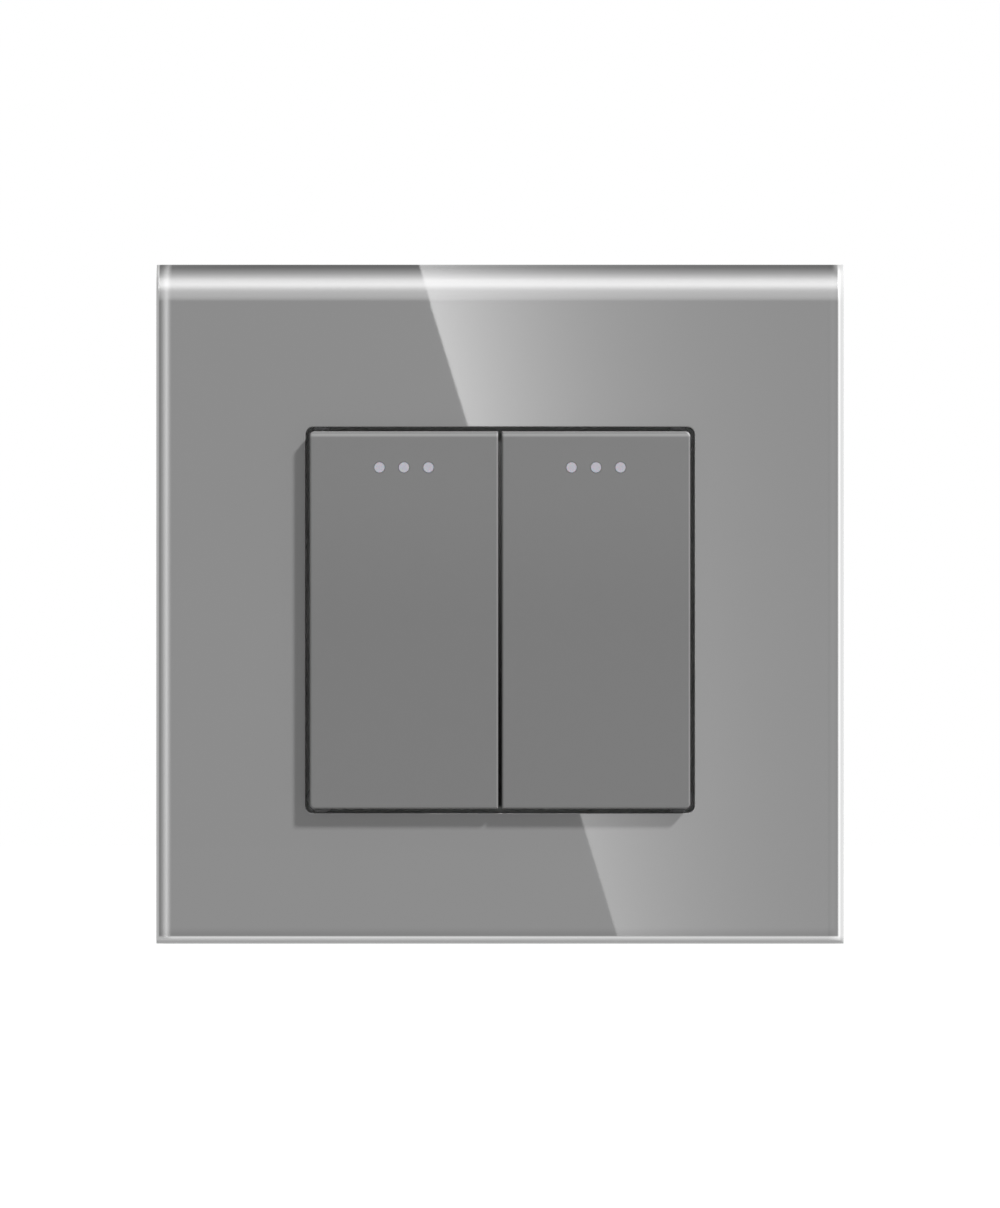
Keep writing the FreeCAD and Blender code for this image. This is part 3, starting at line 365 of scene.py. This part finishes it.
def cover_material():
    """Pale moulded plastic, with painted shade on the rib between the keys that is darkest at the rib's
    lower end.
    """
    material, tree = new_material("cover_plastic")
    place = place_of(tree)
    colour = blend(tree, grain(tree, PLASTIC_CLOUD_SIZE, CLOUD_DETAIL), COVER_GREY, COVER_CLOUD)
    # Painted shade on the rib, darker towards its lower end
    rib = blend(tree, rise(tree, axis_of(tree, place, "Z"), RIB_LOW_Z, RIB_TOP_Z), RIB_SHADE_LOW, RIB_SHADE_TOP)
    share = 1.0
    for axis, reach in (("X", RIB_REACH), ("Z", RIB_END)):
        away = calculate(tree, "ABSOLUTE", axis_of(tree, place, axis))
        share = calculate(tree, "MULTIPLY", fall(tree, away, reach, reach + RIB_FADE), share)
    colour = blend(tree, share, colour, rib)
    grained_surface(tree, colour, COVER_ROUGHNESS, PLASTIC_UNEVEN, COVER_GRAIN, COVER_GRAIN_DEPTH)
    return material


FOAM_DARK = grey(0.02)
FOAM_PALE = grey(0.07)
FOAM_CELL = 0.25 * MM
FOAM_ROUGHNESS = 0.9
FOAM_DEPTH = 0.06 * MM


def foam_material():
    """Black foam tape with open cells, with painted shade that darkens the hollows of the cells."""
    material, tree = new_material("foam_tape")
    cells = add_node(tree, "ShaderNodeTexVoronoi", {"Vector": place_of(tree), "Scale": 1 / FOAM_CELL})
    height = cells.outputs["Distance"]
    # Painted shade: darker where the relief is low, in the hollows of the cells
    colour = blend(tree, height, FOAM_DARK, FOAM_PALE)
    surface(tree, Base_Color=colour, Roughness=FOAM_ROUGHNESS, Normal=relief(tree, height, FOAM_DEPTH))
    return material


# Materials of the metals

METAL_LINE = 0.1 * MM
METAL_LINE_DEPTH = 0.004 * MM
METAL_CLOUD_SIZE = 2.5 * MM
METAL_SMOOTHER = 0.08
METAL_ROUGHER = 0.1
METAL_NOISE_LOW = 0.6
METAL_NOISE_HIGH = 1.4

# Which way the lines of a metal run
LINES_UPRIGHT = (1, 1, 0.05)
LINES_ACROSS = (0.05, 1, 1)
LINES_SHORT = (1, 1, 0.3)
NO_LINES = (1, 1, 1)


def metal(name, colour, paler, roughness, lines, depth=METAL_LINE_DEPTH):
    """Metal with drawing or rolling lines along one axis and a cloudy surface."""
    material, tree = new_material(name)
    streak = grain(tree, METAL_LINE, stretch=lines)
    cloud = grain(tree, METAL_CLOUD_SIZE, METAL_DETAIL)
    gloss = spread(
        tree, calculate(tree, "ADD", streak, cloud), METAL_NOISE_LOW, METAL_NOISE_HIGH,
        roughness - METAL_SMOOTHER, roughness + METAL_ROUGHER)
    surface(
        tree, Base_Color=blend(tree, cloud, colour, paler), Metallic=1.0, Roughness=gloss,
        Normal=relief(tree, streak, depth))
    return material


# The material of each slot

PLASTICS = {
    "carrier_plastic": {
        "colour": grey(0.28), "paler": grey(0.32), "roughness": 0.5,
        "grain_size": 0.15 * MM, "depth": 0.01 * MM},
    "base_plastic": {
        "colour": grey(0.50, warm=0.01), "paler": grey(0.55, warm=0.01), "roughness": 0.45,
        "grain_size": 0.2 * MM, "depth": 0.012 * MM},
    "actuator_plastic": {
        "colour": grey(0.76, warm=0.02), "paler": grey(0.82, warm=0.02), "roughness": 0.35,
        "grain_size": 0.2 * MM, "depth": 0.005 * MM},
}
METALS = {
    "zinc_steel": {
        "colour": (0.55, 0.56, 0.58, 1), "paler": (0.70, 0.70, 0.68, 1), "roughness": 0.32,
        "lines": LINES_UPRIGHT},
    "screw_steel": {
        "colour": (0.60, 0.60, 0.60, 1), "paler": (0.72, 0.71, 0.67, 1), "roughness": 0.28,
        "lines": LINES_SHORT},
    "black_steel": {
        "colour": (0.16, 0.16, 0.165, 1), "paler": (0.22, 0.22, 0.22, 1), "roughness": 0.36,
        "lines": LINES_SHORT},
    "rivet_steel": {
        "colour": (0.56, 0.56, 0.57, 1), "paler": (0.66, 0.66, 0.66, 1), "roughness": 0.3,
        "lines": NO_LINES, "depth": 0.006 * MM},
    "brass": {
        "colour": (0.66, 0.46, 0.18, 1), "paler": (0.78, 0.58, 0.27, 1), "roughness": 0.3,
        "lines": LINES_ACROSS},
    "copper": {
        "colour": (0.66, 0.33, 0.20, 1), "paler": (0.78, 0.43, 0.28, 1), "roughness": 0.3,
        "lines": LINES_UPRIGHT},
    "silver": {
        "colour": (0.80, 0.79, 0.75, 1), "paler": (0.90, 0.89, 0.86, 1), "roughness": 0.22,
        "lines": NO_LINES},
    "spring_steel": {
        "colour": (0.50, 0.50, 0.51, 1), "paler": (0.66, 0.66, 0.66, 1), "roughness": 0.25,
        "lines": NO_LINES, "depth": 0.002 * MM},
}
MATERIALS = {
    "grey_glass": glass_material(),
    "key_plastic": key_material(),
    "dot_plastic": dot_material(),
    "cover_plastic": cover_material(),
    "foam_tape": foam_material(),
}
for name, look in PLASTICS.items():
    MATERIALS[name] = moulded(name, **look)
for name, look in METALS.items():
    MATERIALS[name] = metal(name, **look)

slots = {row["node"]: row["material_slot"] for row in frame["record"]["subparts"]}
for name, node in frame["nodes"].items():
    node.data.materials.clear()
    node.data.materials.append(MATERIALS[slots[name]])


# Meshes

# Steps round a ring's corner, an even number, so that a sharp corner gets a point of its own
CORNER_STEPS = 12
HALF_CORNER = CORNER_STEPS // 2

# Steps across the opening's small round and across the rounds along the edges of the glass
ARRIS_STEPS = 6
ROUND_STEPS = 40

CREASE_ANGLE = math.radians(22)
WELD = 0.001 * MM


def add_object(name, data):
    """A new object in the scene."""
    added = bpy.data.objects.new(name, data)
    bpy.context.scene.collection.objects.link(added)
    return added


def new_piece(name, slot, body, mesh):
    """A piece of the visual model that moves with a body."""
    piece = add_object(name, mesh)
    mesh.materials.append(MATERIALS[slot])
    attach(piece, body)
    return piece


def weigh_normals(piece):
    """Lets large flat faces keep their own normals beside a round."""
    modifier = piece.modifiers.new("weighted_normals", "WEIGHTED_NORMAL")
    modifier.keep_sharp = True


def ring(half_width, half_height, radius, y):
    """A rectangle with round corners about the origin, as equal numbers of points for each corner."""
    points = []
    for quarter in range(4):
        right = 1 if quarter in (0, 3) else -1
        high = 1 if quarter in (0, 1) else -1
        for step in range(CORNER_STEPS + 1):
            angle = math.radians(90 * (quarter + step / CORNER_STEPS))
            x = right * (half_width - radius) + radius * math.cos(angle)
            z = high * (half_height - radius) + radius * math.sin(angle)
            points.append(Vector((x, y, z)))
    return points


def square_ring(left, right, bottom, top, y, inner_half_width, inner_half_height):
    """A rectangle with sharp corners whose points lie outside those of an inner ring about the origin."""
    points = []
    for quarter in range(4):
        side = right if quarter in (0, 3) else left
        end = top if quarter in (0, 1) else bottom
        near_x = math.copysign(inner_half_width, side)
        near_z = math.copysign(inner_half_height, end)
        for step in range(CORNER_STEPS + 1):
            turn = step if quarter in (0, 2) else CORNER_STEPS - step
            if turn <= HALF_CORNER:
                share = math.tan(math.radians(90 * turn / CORNER_STEPS))
                point = (side, y, near_z + (end - near_z) * share)
            else:
                share = math.tan(math.radians(90 - 90 * turn / CORNER_STEPS))
                point = (near_x + (side - near_x) * share, y, end)
            points.append(Vector(point))
    return points


def add_face(shape, points):
    """A face with corners of its own, which the weld joins to its neighbours'."""
    shape.faces.new([shape.verts.new(point) for point in points])


def add_rings(shape, rings):
    """Quads between each ring and the next."""
    rows = [[shape.verts.new(point) for point in points] for points in rings]
    count = len(rows[0])
    for near, far in zip(rows, rows[1:]):
        for step in range(count):
            following = (step + 1) % count
            shape.faces.new((near[step], near[following], far[following], far[step]))


def finish_mesh(name, shape):
    """Welds the patches of a shape and shades it smooth between its creases."""
    bmesh.ops.remove_doubles(shape, verts=shape.verts, dist=WELD)
    bmesh.ops.recalc_face_normals(shape, faces=shape.faces)
    for face in shape.faces:
        face.smooth = True
    for edge in shape.edges:
        edge.smooth = edge.calc_face_angle(0.0) < CREASE_ANGLE
    mesh = bpy.data.meshes.new(name)
    shape.to_mesh(mesh)
    shape.free()
    return mesh


# Glass panel

# The thickness that is left at a corner where two rounds meet
THINNEST_CORNER = 0.1 * MM


def top_depth(distance):
    """How deep the top round lies at a distance below the upper edge."""
    above_foot = max(TOP_ROUND_HEIGHT - distance, 0.0)
    return TOP_ROUND_RADIUS - math.sqrt(TOP_ROUND_RADIUS ** 2 - above_foot ** 2)


def edge_depth(distance, width):
    """How deep a side or bottom round lies at a distance from its edge."""
    share = min(max(1 - distance / width, 0.0), 1.0)
    return EDGE_ROUND_DEPTH * (1 - math.sqrt(1 - share ** 2))


def glass_depth(x, z):
    """How deep the front of the glass lies at a place: each round runs on straight across the next."""
    depth = top_depth(panel_high.z - z) + edge_depth(z - panel_low.z, BOTTOM_ROUND_WIDTH)
    depth += edge_depth(x - panel_low.x, SIDE_ROUND_WIDTH) + edge_depth(panel_high.x - x, SIDE_ROUND_WIDTH)
    return min(depth, PANEL_BACK - PANEL_FRONT - THINNEST_CORNER)


def front_point(x, z):
    """A point on the front of the glass."""
    return Vector((x, PANEL_FRONT + glass_depth(x, z), z))


def back_point(x, z):
    """A point on the back of the glass."""
    return Vector((x, PANEL_BACK, z))


def opening_rings():
    """The opening's wall from the back of the glass to the front, with a small round at its edge."""
    rings = [ring(OPENING_HALF_WIDTH, OPENING_HALF_HEIGHT, OPENING_CORNER, PANEL_BACK)]
    for step in range(ARRIS_STEPS + 1):
        angle = math.radians(90) * step / ARRIS_STEPS
        growth = OPENING_ARRIS * (1 - math.cos(angle))
        rings.append(ring(
            OPENING_HALF_WIDTH + growth, OPENING_HALF_HEIGHT + growth, OPENING_CORNER + growth,
            PANEL_FRONT + OPENING_ARRIS * (1 - math.sin(angle))))
    return rings


def flat_ring(y):
    """The outline of the flat middle of the glass."""
    return square_ring(
        panel_low.x + SIDE_ROUND_WIDTH, panel_high.x - SIDE_ROUND_WIDTH,
        panel_low.z + BOTTOM_ROUND_WIDTH, panel_high.z - TOP_ROUND_HEIGHT, y,
        OPENING_HALF_WIDTH - OPENING_CORNER, OPENING_HALF_HEIGHT - OPENING_CORNER)


def round_lines(edge, width, towards):
    """Places across a round, closest together at its steep edge."""
    angles = [math.radians(90) * step / ROUND_STEPS for step in range(ROUND_STEPS + 1)]
    return [edge + towards * width * (1 - math.sin(angle)) for angle in angles]


def sorted_places(places):
    """The places in order, without those that fall on one another."""
    kept = []
    for place in sorted(places):
        if not kept or place - kept[-1] > WELD:
            kept.append(place)
    return kept


def add_front_and_back(shape, lines_x, lines_z, flat_x, flat_z):
    """The front and the back of the glass outside its flat middle, as patches between the lines."""
    for left, right in zip(lines_x, lines_x[1:]):
        for low, high in zip(lines_z, lines_z[1:]):
            inside_x = min(flat_x) < (left + right) / 2 < max(flat_x)
            inside_z = min(flat_z) < (low + high) / 2 < max(flat_z)
            if inside_x and inside_z:
                continue
            corners = ((left, low), (right, low), (right, high), (left, high))
            for side_point in (front_point, back_point):
                add_face(shape, [side_point(*corner) for corner in corners])


def add_side_walls(shape, lines_x, lines_z):
    """The walls between the front and the back along the four edges of the glass."""
    borders = []
    for left, right in zip(lines_x, lines_x[1:]):
        borders += [((left, z), (right, z)) for z in (lines_z[0], lines_z[-1])]
    for low, high in zip(lines_z, lines_z[1:]):
        borders += [((x, low), (x, high)) for x in (lines_x[0], lines_x[-1])]
    for start, end in borders:
        add_face(shape, (front_point(*start), front_point(*end), back_point(*end), back_point(*start)))


def make_glass_panel():
    """The glass: its opening, the flat middle, the rounds about it, the side walls and the back."""
    shape = bmesh.new()
    middle = flat_ring(PANEL_FRONT)
    add_rings(shape, [flat_ring(PANEL_BACK)] + opening_rings() + [middle])
    flat_x = [point.x for point in middle]
    flat_z = [point.z for point in middle]
    left_lines = round_lines(panel_low.x, SIDE_ROUND_WIDTH, 1)
    right_lines = round_lines(panel_high.x, SIDE_ROUND_WIDTH, -1)
    low_lines = round_lines(panel_low.z, BOTTOM_ROUND_WIDTH, 1)
    high_lines = round_lines(panel_high.z, TOP_ROUND_HEIGHT, -1)
    lines_x = sorted_places(flat_x + left_lines + right_lines)
    lines_z = sorted_places(flat_z + low_lines + high_lines)
    add_front_and_back(shape, lines_x, lines_z, flat_x, flat_z)
    add_side_walls(shape, lines_x, lines_z)
    panel = new_piece("glass_panel_dressed", "grey_glass", "root", finish_mesh("glass_panel_dressed", shape))
    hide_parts("glass_panel")
    weigh_normals(panel)
    return panel


glass_panel = make_glass_panel()


# Plunger springs

def make_spring(gang):
    """The plunger's spring as a piece of its own that moves with the rocker."""
    node = f"{gang}_plunger_spring"
    mesh = frame["nodes"][node].data.copy()
    mesh.materials.clear()
    spring = new_piece(f"{node}_wound", slots[node], f"{gang}_rocker", mesh)
    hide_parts(node)
    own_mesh(spring)


for gang in ("left", "right"):
    make_spring(gang)


# Stage

CAMERA_DISTANCE = 1.5
CAMERA_NEAR = 0.01
SENSOR = 36.0


def add_camera():
    """The camera straight before the middle of the panel, at the photograph's scale."""
    camera = add_object("camera", bpy.data.cameras.new("camera"))
    camera.location = (0.0, PANEL_FRONT - CAMERA_DISTANCE, PANEL_MIDDLE_Z)
    camera.rotation_euler = (math.radians(90), 0, 0)
    view_height = PHOTO_HEIGHT / PIXELS_PER_MM * MM
    camera.data.sensor_fit = "VERTICAL"
    camera.data.sensor_width = SENSOR
    camera.data.sensor_height = SENSOR
    camera.data.lens = SENSOR * CAMERA_DISTANCE / view_height
    camera.data.clip_start = CAMERA_NEAR
    bpy.context.scene.camera = camera


FILL_LEVEL = 0.42
KEY_STRENGTH = 4.3
KEY_DIRECTION = Vector((1.7, -1.0, 2.0))
KEY_SOFTNESS = math.radians(5)


def add_world():
    """White all around for the camera, reflections and glass, and a plain soft fill for the rest."""
    world = bpy.data.worlds.new("studio")
    bpy.context.scene.world = world
    world.use_nodes = True
    tree = world.node_tree
    tree.nodes.clear()
    seen = seen_by(tree, "Is Camera Ray", "Is Glossy Ray", "Is Transmission Ray")
    level = add_node(tree, "ShaderNodeMapRange", {"Value": seen, "To Min": FILL_LEVEL, "To Max": 1.0})
    back = add_node(
        tree, "ShaderNodeBackground", {"Color": grey(1.0), "Strength": level.outputs["Result"]})
    add_node(tree, "ShaderNodeOutputWorld", {"Surface": back.outputs["Background"]})


def add_key_light():
    """One lamp above and to the right, soft enough for a short blurred edge to each shadow."""
    lamp = add_object("key_light", bpy.data.lights.new("key_light", "SUN"))
    lamp.data.energy = KEY_STRENGTH
    lamp.data.angle = KEY_SOFTNESS
    lamp.rotation_euler = KEY_DIRECTION.to_track_quat("Z", "Y").to_euler()


FLOOR_DROP = 0.15
FLOOR_HALF = 6.0
FLOOR_GREY = grey(0.74)
FLOOR_CLOUD = grey(0.76)
FLOOR_CLOUD_SIZE = 0.4
# The grey with which the floor throws light back on the switch
FLOOR_BOUNCE = grey(0.45)


def floor_material():
    """A pale floor whose underside lets the view through."""
    material, tree = new_material("floor")
    pale = blend(tree, grain(tree, FLOOR_CLOUD_SIZE, CLOUD_DETAIL), FLOOR_GREY, FLOOR_CLOUD)
    colour = blend(tree, seen_by(tree, "Is Camera Ray", "Is Glossy Ray"), FLOOR_BOUNCE, pale)
    top = add_node(tree, "ShaderNodeBsdfDiffuse", {"Color": colour})
    underside = add_node(tree, "ShaderNodeBsdfTransparent")
    below = add_node(tree, "ShaderNodeNewGeometry").outputs["Backfacing"]
    mix = add_node(tree, "ShaderNodeMixShader", {0: below, 1: top.outputs[0], 2: underside.outputs[0]})
    add_node(tree, "ShaderNodeOutputMaterial", {"Surface": mix.outputs[0]})
    return material


def add_floor():
    """A plain floor below the switch."""
    mesh = bpy.data.meshes.new("floor")
    corners = [(-1, -1), (1, -1), (1, 1), (-1, 1)]
    mesh.from_pydata([(x * FLOOR_HALF, y * FLOOR_HALF, -FLOOR_DROP) for x, y in corners], [], [(0, 1, 2, 3)])
    mesh.materials.append(floor_material())
    floor = add_object("floor", mesh)


# Cards that the glass mirrors

PLAIN_WHITE = 1.0

mirrors = bpy.data.collections.new("mirrors")
mirrors.objects.link(glass_panel)


def add_card(name, mesh, draw_light):
    """A card that shows in the glass alone, as a reflection, so that it adds no light to anything else."""
    material, tree = new_material(name)
    light = calculate(tree, "ADD", draw_light(tree), PLAIN_WHITE)
    glow = add_node(tree, "ShaderNodeEmission", {"Color": grey(1.0), "Strength": light})
    add_node(tree, "ShaderNodeOutputMaterial", {"Surface": glow.outputs[0]})
    mesh.materials.append(material)
    card = add_object(name, mesh)
    card.light_linking.receiver_collection = mirrors
    card.visible_camera = False
    card.visible_diffuse = False
    card.visible_transmission = False
    card.visible_shadow = False


# The window's slanted left edge and its fading light, written as places on the panel, where the camera
# sees them
WINDOW_TOP = (-10.1 * MM, 44.5 * MM)
WINDOW_BOTTOM = (14.9 * MM, -40.4 * MM)
WINDOW_SLOPE = (WINDOW_BOTTOM[0] - WINDOW_TOP[0]) / (WINDOW_BOTTOM[1] - WINDOW_TOP[1])
WINDOW_FADE_ACROSS = 14.5 * MM
WINDOW_FADE_DOWN = 100 * MM
WINDOW_BLUR = 0.15 * MM


def past_window_edge(tree, across, below):
    """How far to the right of the window's edge a place lies, from where it is across and below the top."""
    edge = calculate(tree, "SUBTRACT", WINDOW_TOP[0], calculate(tree, "MULTIPLY", below, WINDOW_SLOPE))
    return calculate(tree, "SUBTRACT", across, edge)


def window_share(tree, across, below):
    """The share of the window's light that is left at a place."""
    past = past_window_edge(tree, across, below)
    fade_across = calculate(tree, "DIVIDE", past, WINDOW_FADE_ACROSS)
    fade_down = calculate(tree, "DIVIDE", below, WINDOW_FADE_DOWN)
    fade = calculate(tree, "ADD", fade_across, fade_down)
    return calculate(tree, "EXPONENT", calculate(tree, "MULTIPLY", fade, -1.0))


# The dome card is part of a large ball about the glass's upper left corner. It is laid out by the way
# the glass leans where it mirrors each place: twice the lean to the left and twice the lean upwards, in
# degrees. Each glow holds pairs of such an angle and the light there
DOME_DISTANCE = 1.2
DOME_CORNER = Vector((panel_low.x, PANEL_FRONT, panel_high.z))
DOME_GROWTH = 1 + DOME_DISTANCE / CAMERA_DISTANCE

# How far the dome reaches each way, in such angles; it is left open below the clear angle both ways
DOME_CLEAR = 3
DOME_LEFT = 78
DOME_RIGHT = 60
DOME_TOP = 138
DOME_BOTTOM = 60
DOME_STEP = 3

# The bright bands that draw the light lines along the upper and the left edge
OVERHEAD_GLOW = (
    (5, 0.0), (12, 2.2), (18, 3.2), (29, 3.7), (35, 4.8), (41, 7.5), (47, 10.8), (53, 12.3),
    (65, 9.4), (72, 6.0), (79, 2.8), (86, 0.8), (92, 0.0),
)
LEFT_GLOW = (
    (3, 0.0), (8, 1.5), (14, 4.6), (22, 8.8), (33, 5.5), (44, 2.5), (58, 1.1), (75, 0.0),
)

# The left glow is this much weaker where it crosses the overhead one, by the lean upwards
LEFT_SHARE = ((0, 1.0), (20, 0.6), (90, 0.6), (105, 0.5), (125, 0.25), (136, 0.15))

# The window's light where it runs on across the top round, by the lean upwards
WINDOW_GLOW = (
    (0, 8.4), (9, 8.2), (18, 6.2), (27, 6.1), (36, 4.5), (45, 2.7), (55, 2.4), (65, 4.6),
    (88, 6.0), (104, 5.0), (116, 3.9), (135, 2.5),
)


def dome_glow(tree, lean, glow):
    """The light of one glow where the glass leans by an angle with this tangent."""
    low, high = glow[0][0], glow[-1][0]
    share = add_node(tree, "ShaderNodeMapRange", {
        "Value": calculate(tree, "ARCTANGENT", lean),
        "From Min": math.radians(low) / 2, "From Max": math.radians(high) / 2})
    ramp = add_node(tree, "ShaderNodeValToRGB", {"Fac": share.outputs["Result"]})
    brightest = max(light for _, light in glow)
    stops = ramp.color_ramp.elements
    for angle, _ in glow[1:-1]:
        stops.new((angle - low) / (high - low))
    for stop, (_, light) in zip(stops, glow):
        stop.color = grey(light / brightest)
    return calculate(tree, "MULTIPLY", ramp.outputs["Color"], brightest)


def dome_window(tree, across, up):
    """The window's light on the dome, seen in the top round of the glass."""
    lean = calculate(tree, "SINE", calculate(tree, "ARCTANGENT", up))
    below = calculate(
        tree, "SUBTRACT", TOP_ROUND_HEIGHT, calculate(tree, "MULTIPLY", lean, TOP_ROUND_RADIUS))
    across = calculate(tree, "DIVIDE", across, DOME_GROWTH)
    inside = rise(tree, past_window_edge(tree, across, below), -WINDOW_BLUR, WINDOW_BLUR)
    share = calculate(tree, "MULTIPLY", window_share(tree, across, below), inside)
    return calculate(tree, "MULTIPLY", share, dome_glow(tree, up, WINDOW_GLOW))


def dome_light(tree):
    """The light on the dome: the bands along the upper and the left edge of the glass, and the window."""
    place = place_of(tree)
    offset = add_node(
        tree, "ShaderNodeVectorMath", {0: place, 1: DOME_CORNER}, operation="SUBTRACT").outputs[0]
    ray = add_node(tree, "ShaderNodeVectorMath", {0: offset}, operation="NORMALIZE").outputs[0]
    size = calculate(tree, "SUBTRACT", 1.0, axis_of(tree, ray, "Y"))
    leftwards = calculate(tree, "MULTIPLY", axis_of(tree, ray, "X"), -1.0)
    left = calculate(tree, "DIVIDE", leftwards, size)
    up = calculate(tree, "DIVIDE", axis_of(tree, ray, "Z"), size)
    left_light = dome_glow(tree, left, LEFT_GLOW)
    left_light = calculate(tree, "MULTIPLY", left_light, dome_glow(tree, up, LEFT_SHARE))
    light = calculate(tree, "ADD", dome_glow(tree, up, OVERHEAD_GLOW), left_light)
    return calculate(tree, "ADD", light, dome_window(tree, axis_of(tree, place, "X"), up))


def dome_point(leftwards, upwards):
    """The place on the dome that glass mirrors where it leans by half of these angles."""
    left = math.tan(math.radians(leftwards) / 2)
    up = math.tan(math.radians(upwards) / 2)
    size = 1 + left ** 2 + up ** 2
    return DOME_CORNER + DOME_DISTANCE * Vector((-2 * left / size, 1 - 2 / size, 2 * up / size))


def add_dome_card():
    """The dome, without the part that the flat of the glass mirrors."""
    shape = bmesh.new()
    corners = ((0, 0), (DOME_STEP, 0), (DOME_STEP, DOME_STEP), (0, DOME_STEP))
    for leftwards in range(-DOME_RIGHT, DOME_LEFT, DOME_STEP):
        for upwards in range(-DOME_BOTTOM, DOME_TOP, DOME_STEP):
            if leftwards < DOME_CLEAR and upwards < DOME_CLEAR:
                continue
            add_face(shape, [dome_point(leftwards + across, upwards + up) for across, up in corners])
    add_card("dome_card", finish_mesh("dome_card", shape), dome_light)


# The window card stands behind the camera, and the flat of the glass mirrors its slanted left edge. Its
# image is smaller than the card by the growth
WINDOW_DISTANCE = 1.6
WINDOW_GROWTH = 1 + WINDOW_DISTANCE / CAMERA_DISTANCE
WINDOW_LIGHT = 8.6
WINDOW_RIGHT = 60 * MM
WINDOW_SPARE_TOP = 27 * MM
WINDOW_SPARE_BOTTOM = 3 * MM


def window_light(tree):
    """The light on the window card: brightest at its slanted edge and fading to the right and downwards."""
    place = place_of(tree)
    above_middle = calculate(tree, "SUBTRACT", axis_of(tree, place, "Z"), PANEL_MIDDLE_Z)
    up = calculate(tree, "ADD", calculate(tree, "DIVIDE", above_middle, WINDOW_GROWTH), PANEL_MIDDLE_Z)
    across = calculate(tree, "DIVIDE", axis_of(tree, place, "X"), WINDOW_GROWTH)
    below = calculate(tree, "SUBTRACT", WINDOW_TOP[1], up)
    # Beside the top round the light stays as it is at the foot of that round
    below = calculate(tree, "MAXIMUM", below, TOP_ROUND_HEIGHT)
    return calculate(tree, "MULTIPLY", window_share(tree, across, below), WINDOW_LIGHT)


def add_window_card():
    """A pale window behind the camera, whose left border goes straight up from the foot of the top round."""
    bend = WINDOW_TOP[1] - TOP_ROUND_HEIGHT
    left = WINDOW_TOP[0] - WINDOW_SLOPE * TOP_ROUND_HEIGHT
    top = WINDOW_TOP[1] + WINDOW_SPARE_TOP
    bottom = WINDOW_BOTTOM[1] - WINDOW_SPARE_BOTTOM
    outline = [
        (left, bend),
        (left, top),
        (WINDOW_RIGHT, top),
        (WINDOW_RIGHT, bottom),
        (WINDOW_BOTTOM[0] - WINDOW_SLOPE * WINDOW_SPARE_BOTTOM, bottom),
    ]
    y = PANEL_FRONT - WINDOW_DISTANCE
    corners = [
        (x * WINDOW_GROWTH, y, PANEL_MIDDLE_Z + (z - PANEL_MIDDLE_Z) * WINDOW_GROWTH) for x, z in outline]
    mesh = bpy.data.meshes.new("window_card")
    mesh.from_pydata(corners, [], [tuple(range(len(corners)))])
    add_card("window_card", mesh, window_light)


add_camera()
add_world()
add_key_light()
add_floor()
add_dome_card()
add_window_card()

bpy.context.scene.view_settings.view_transform = "Standard"
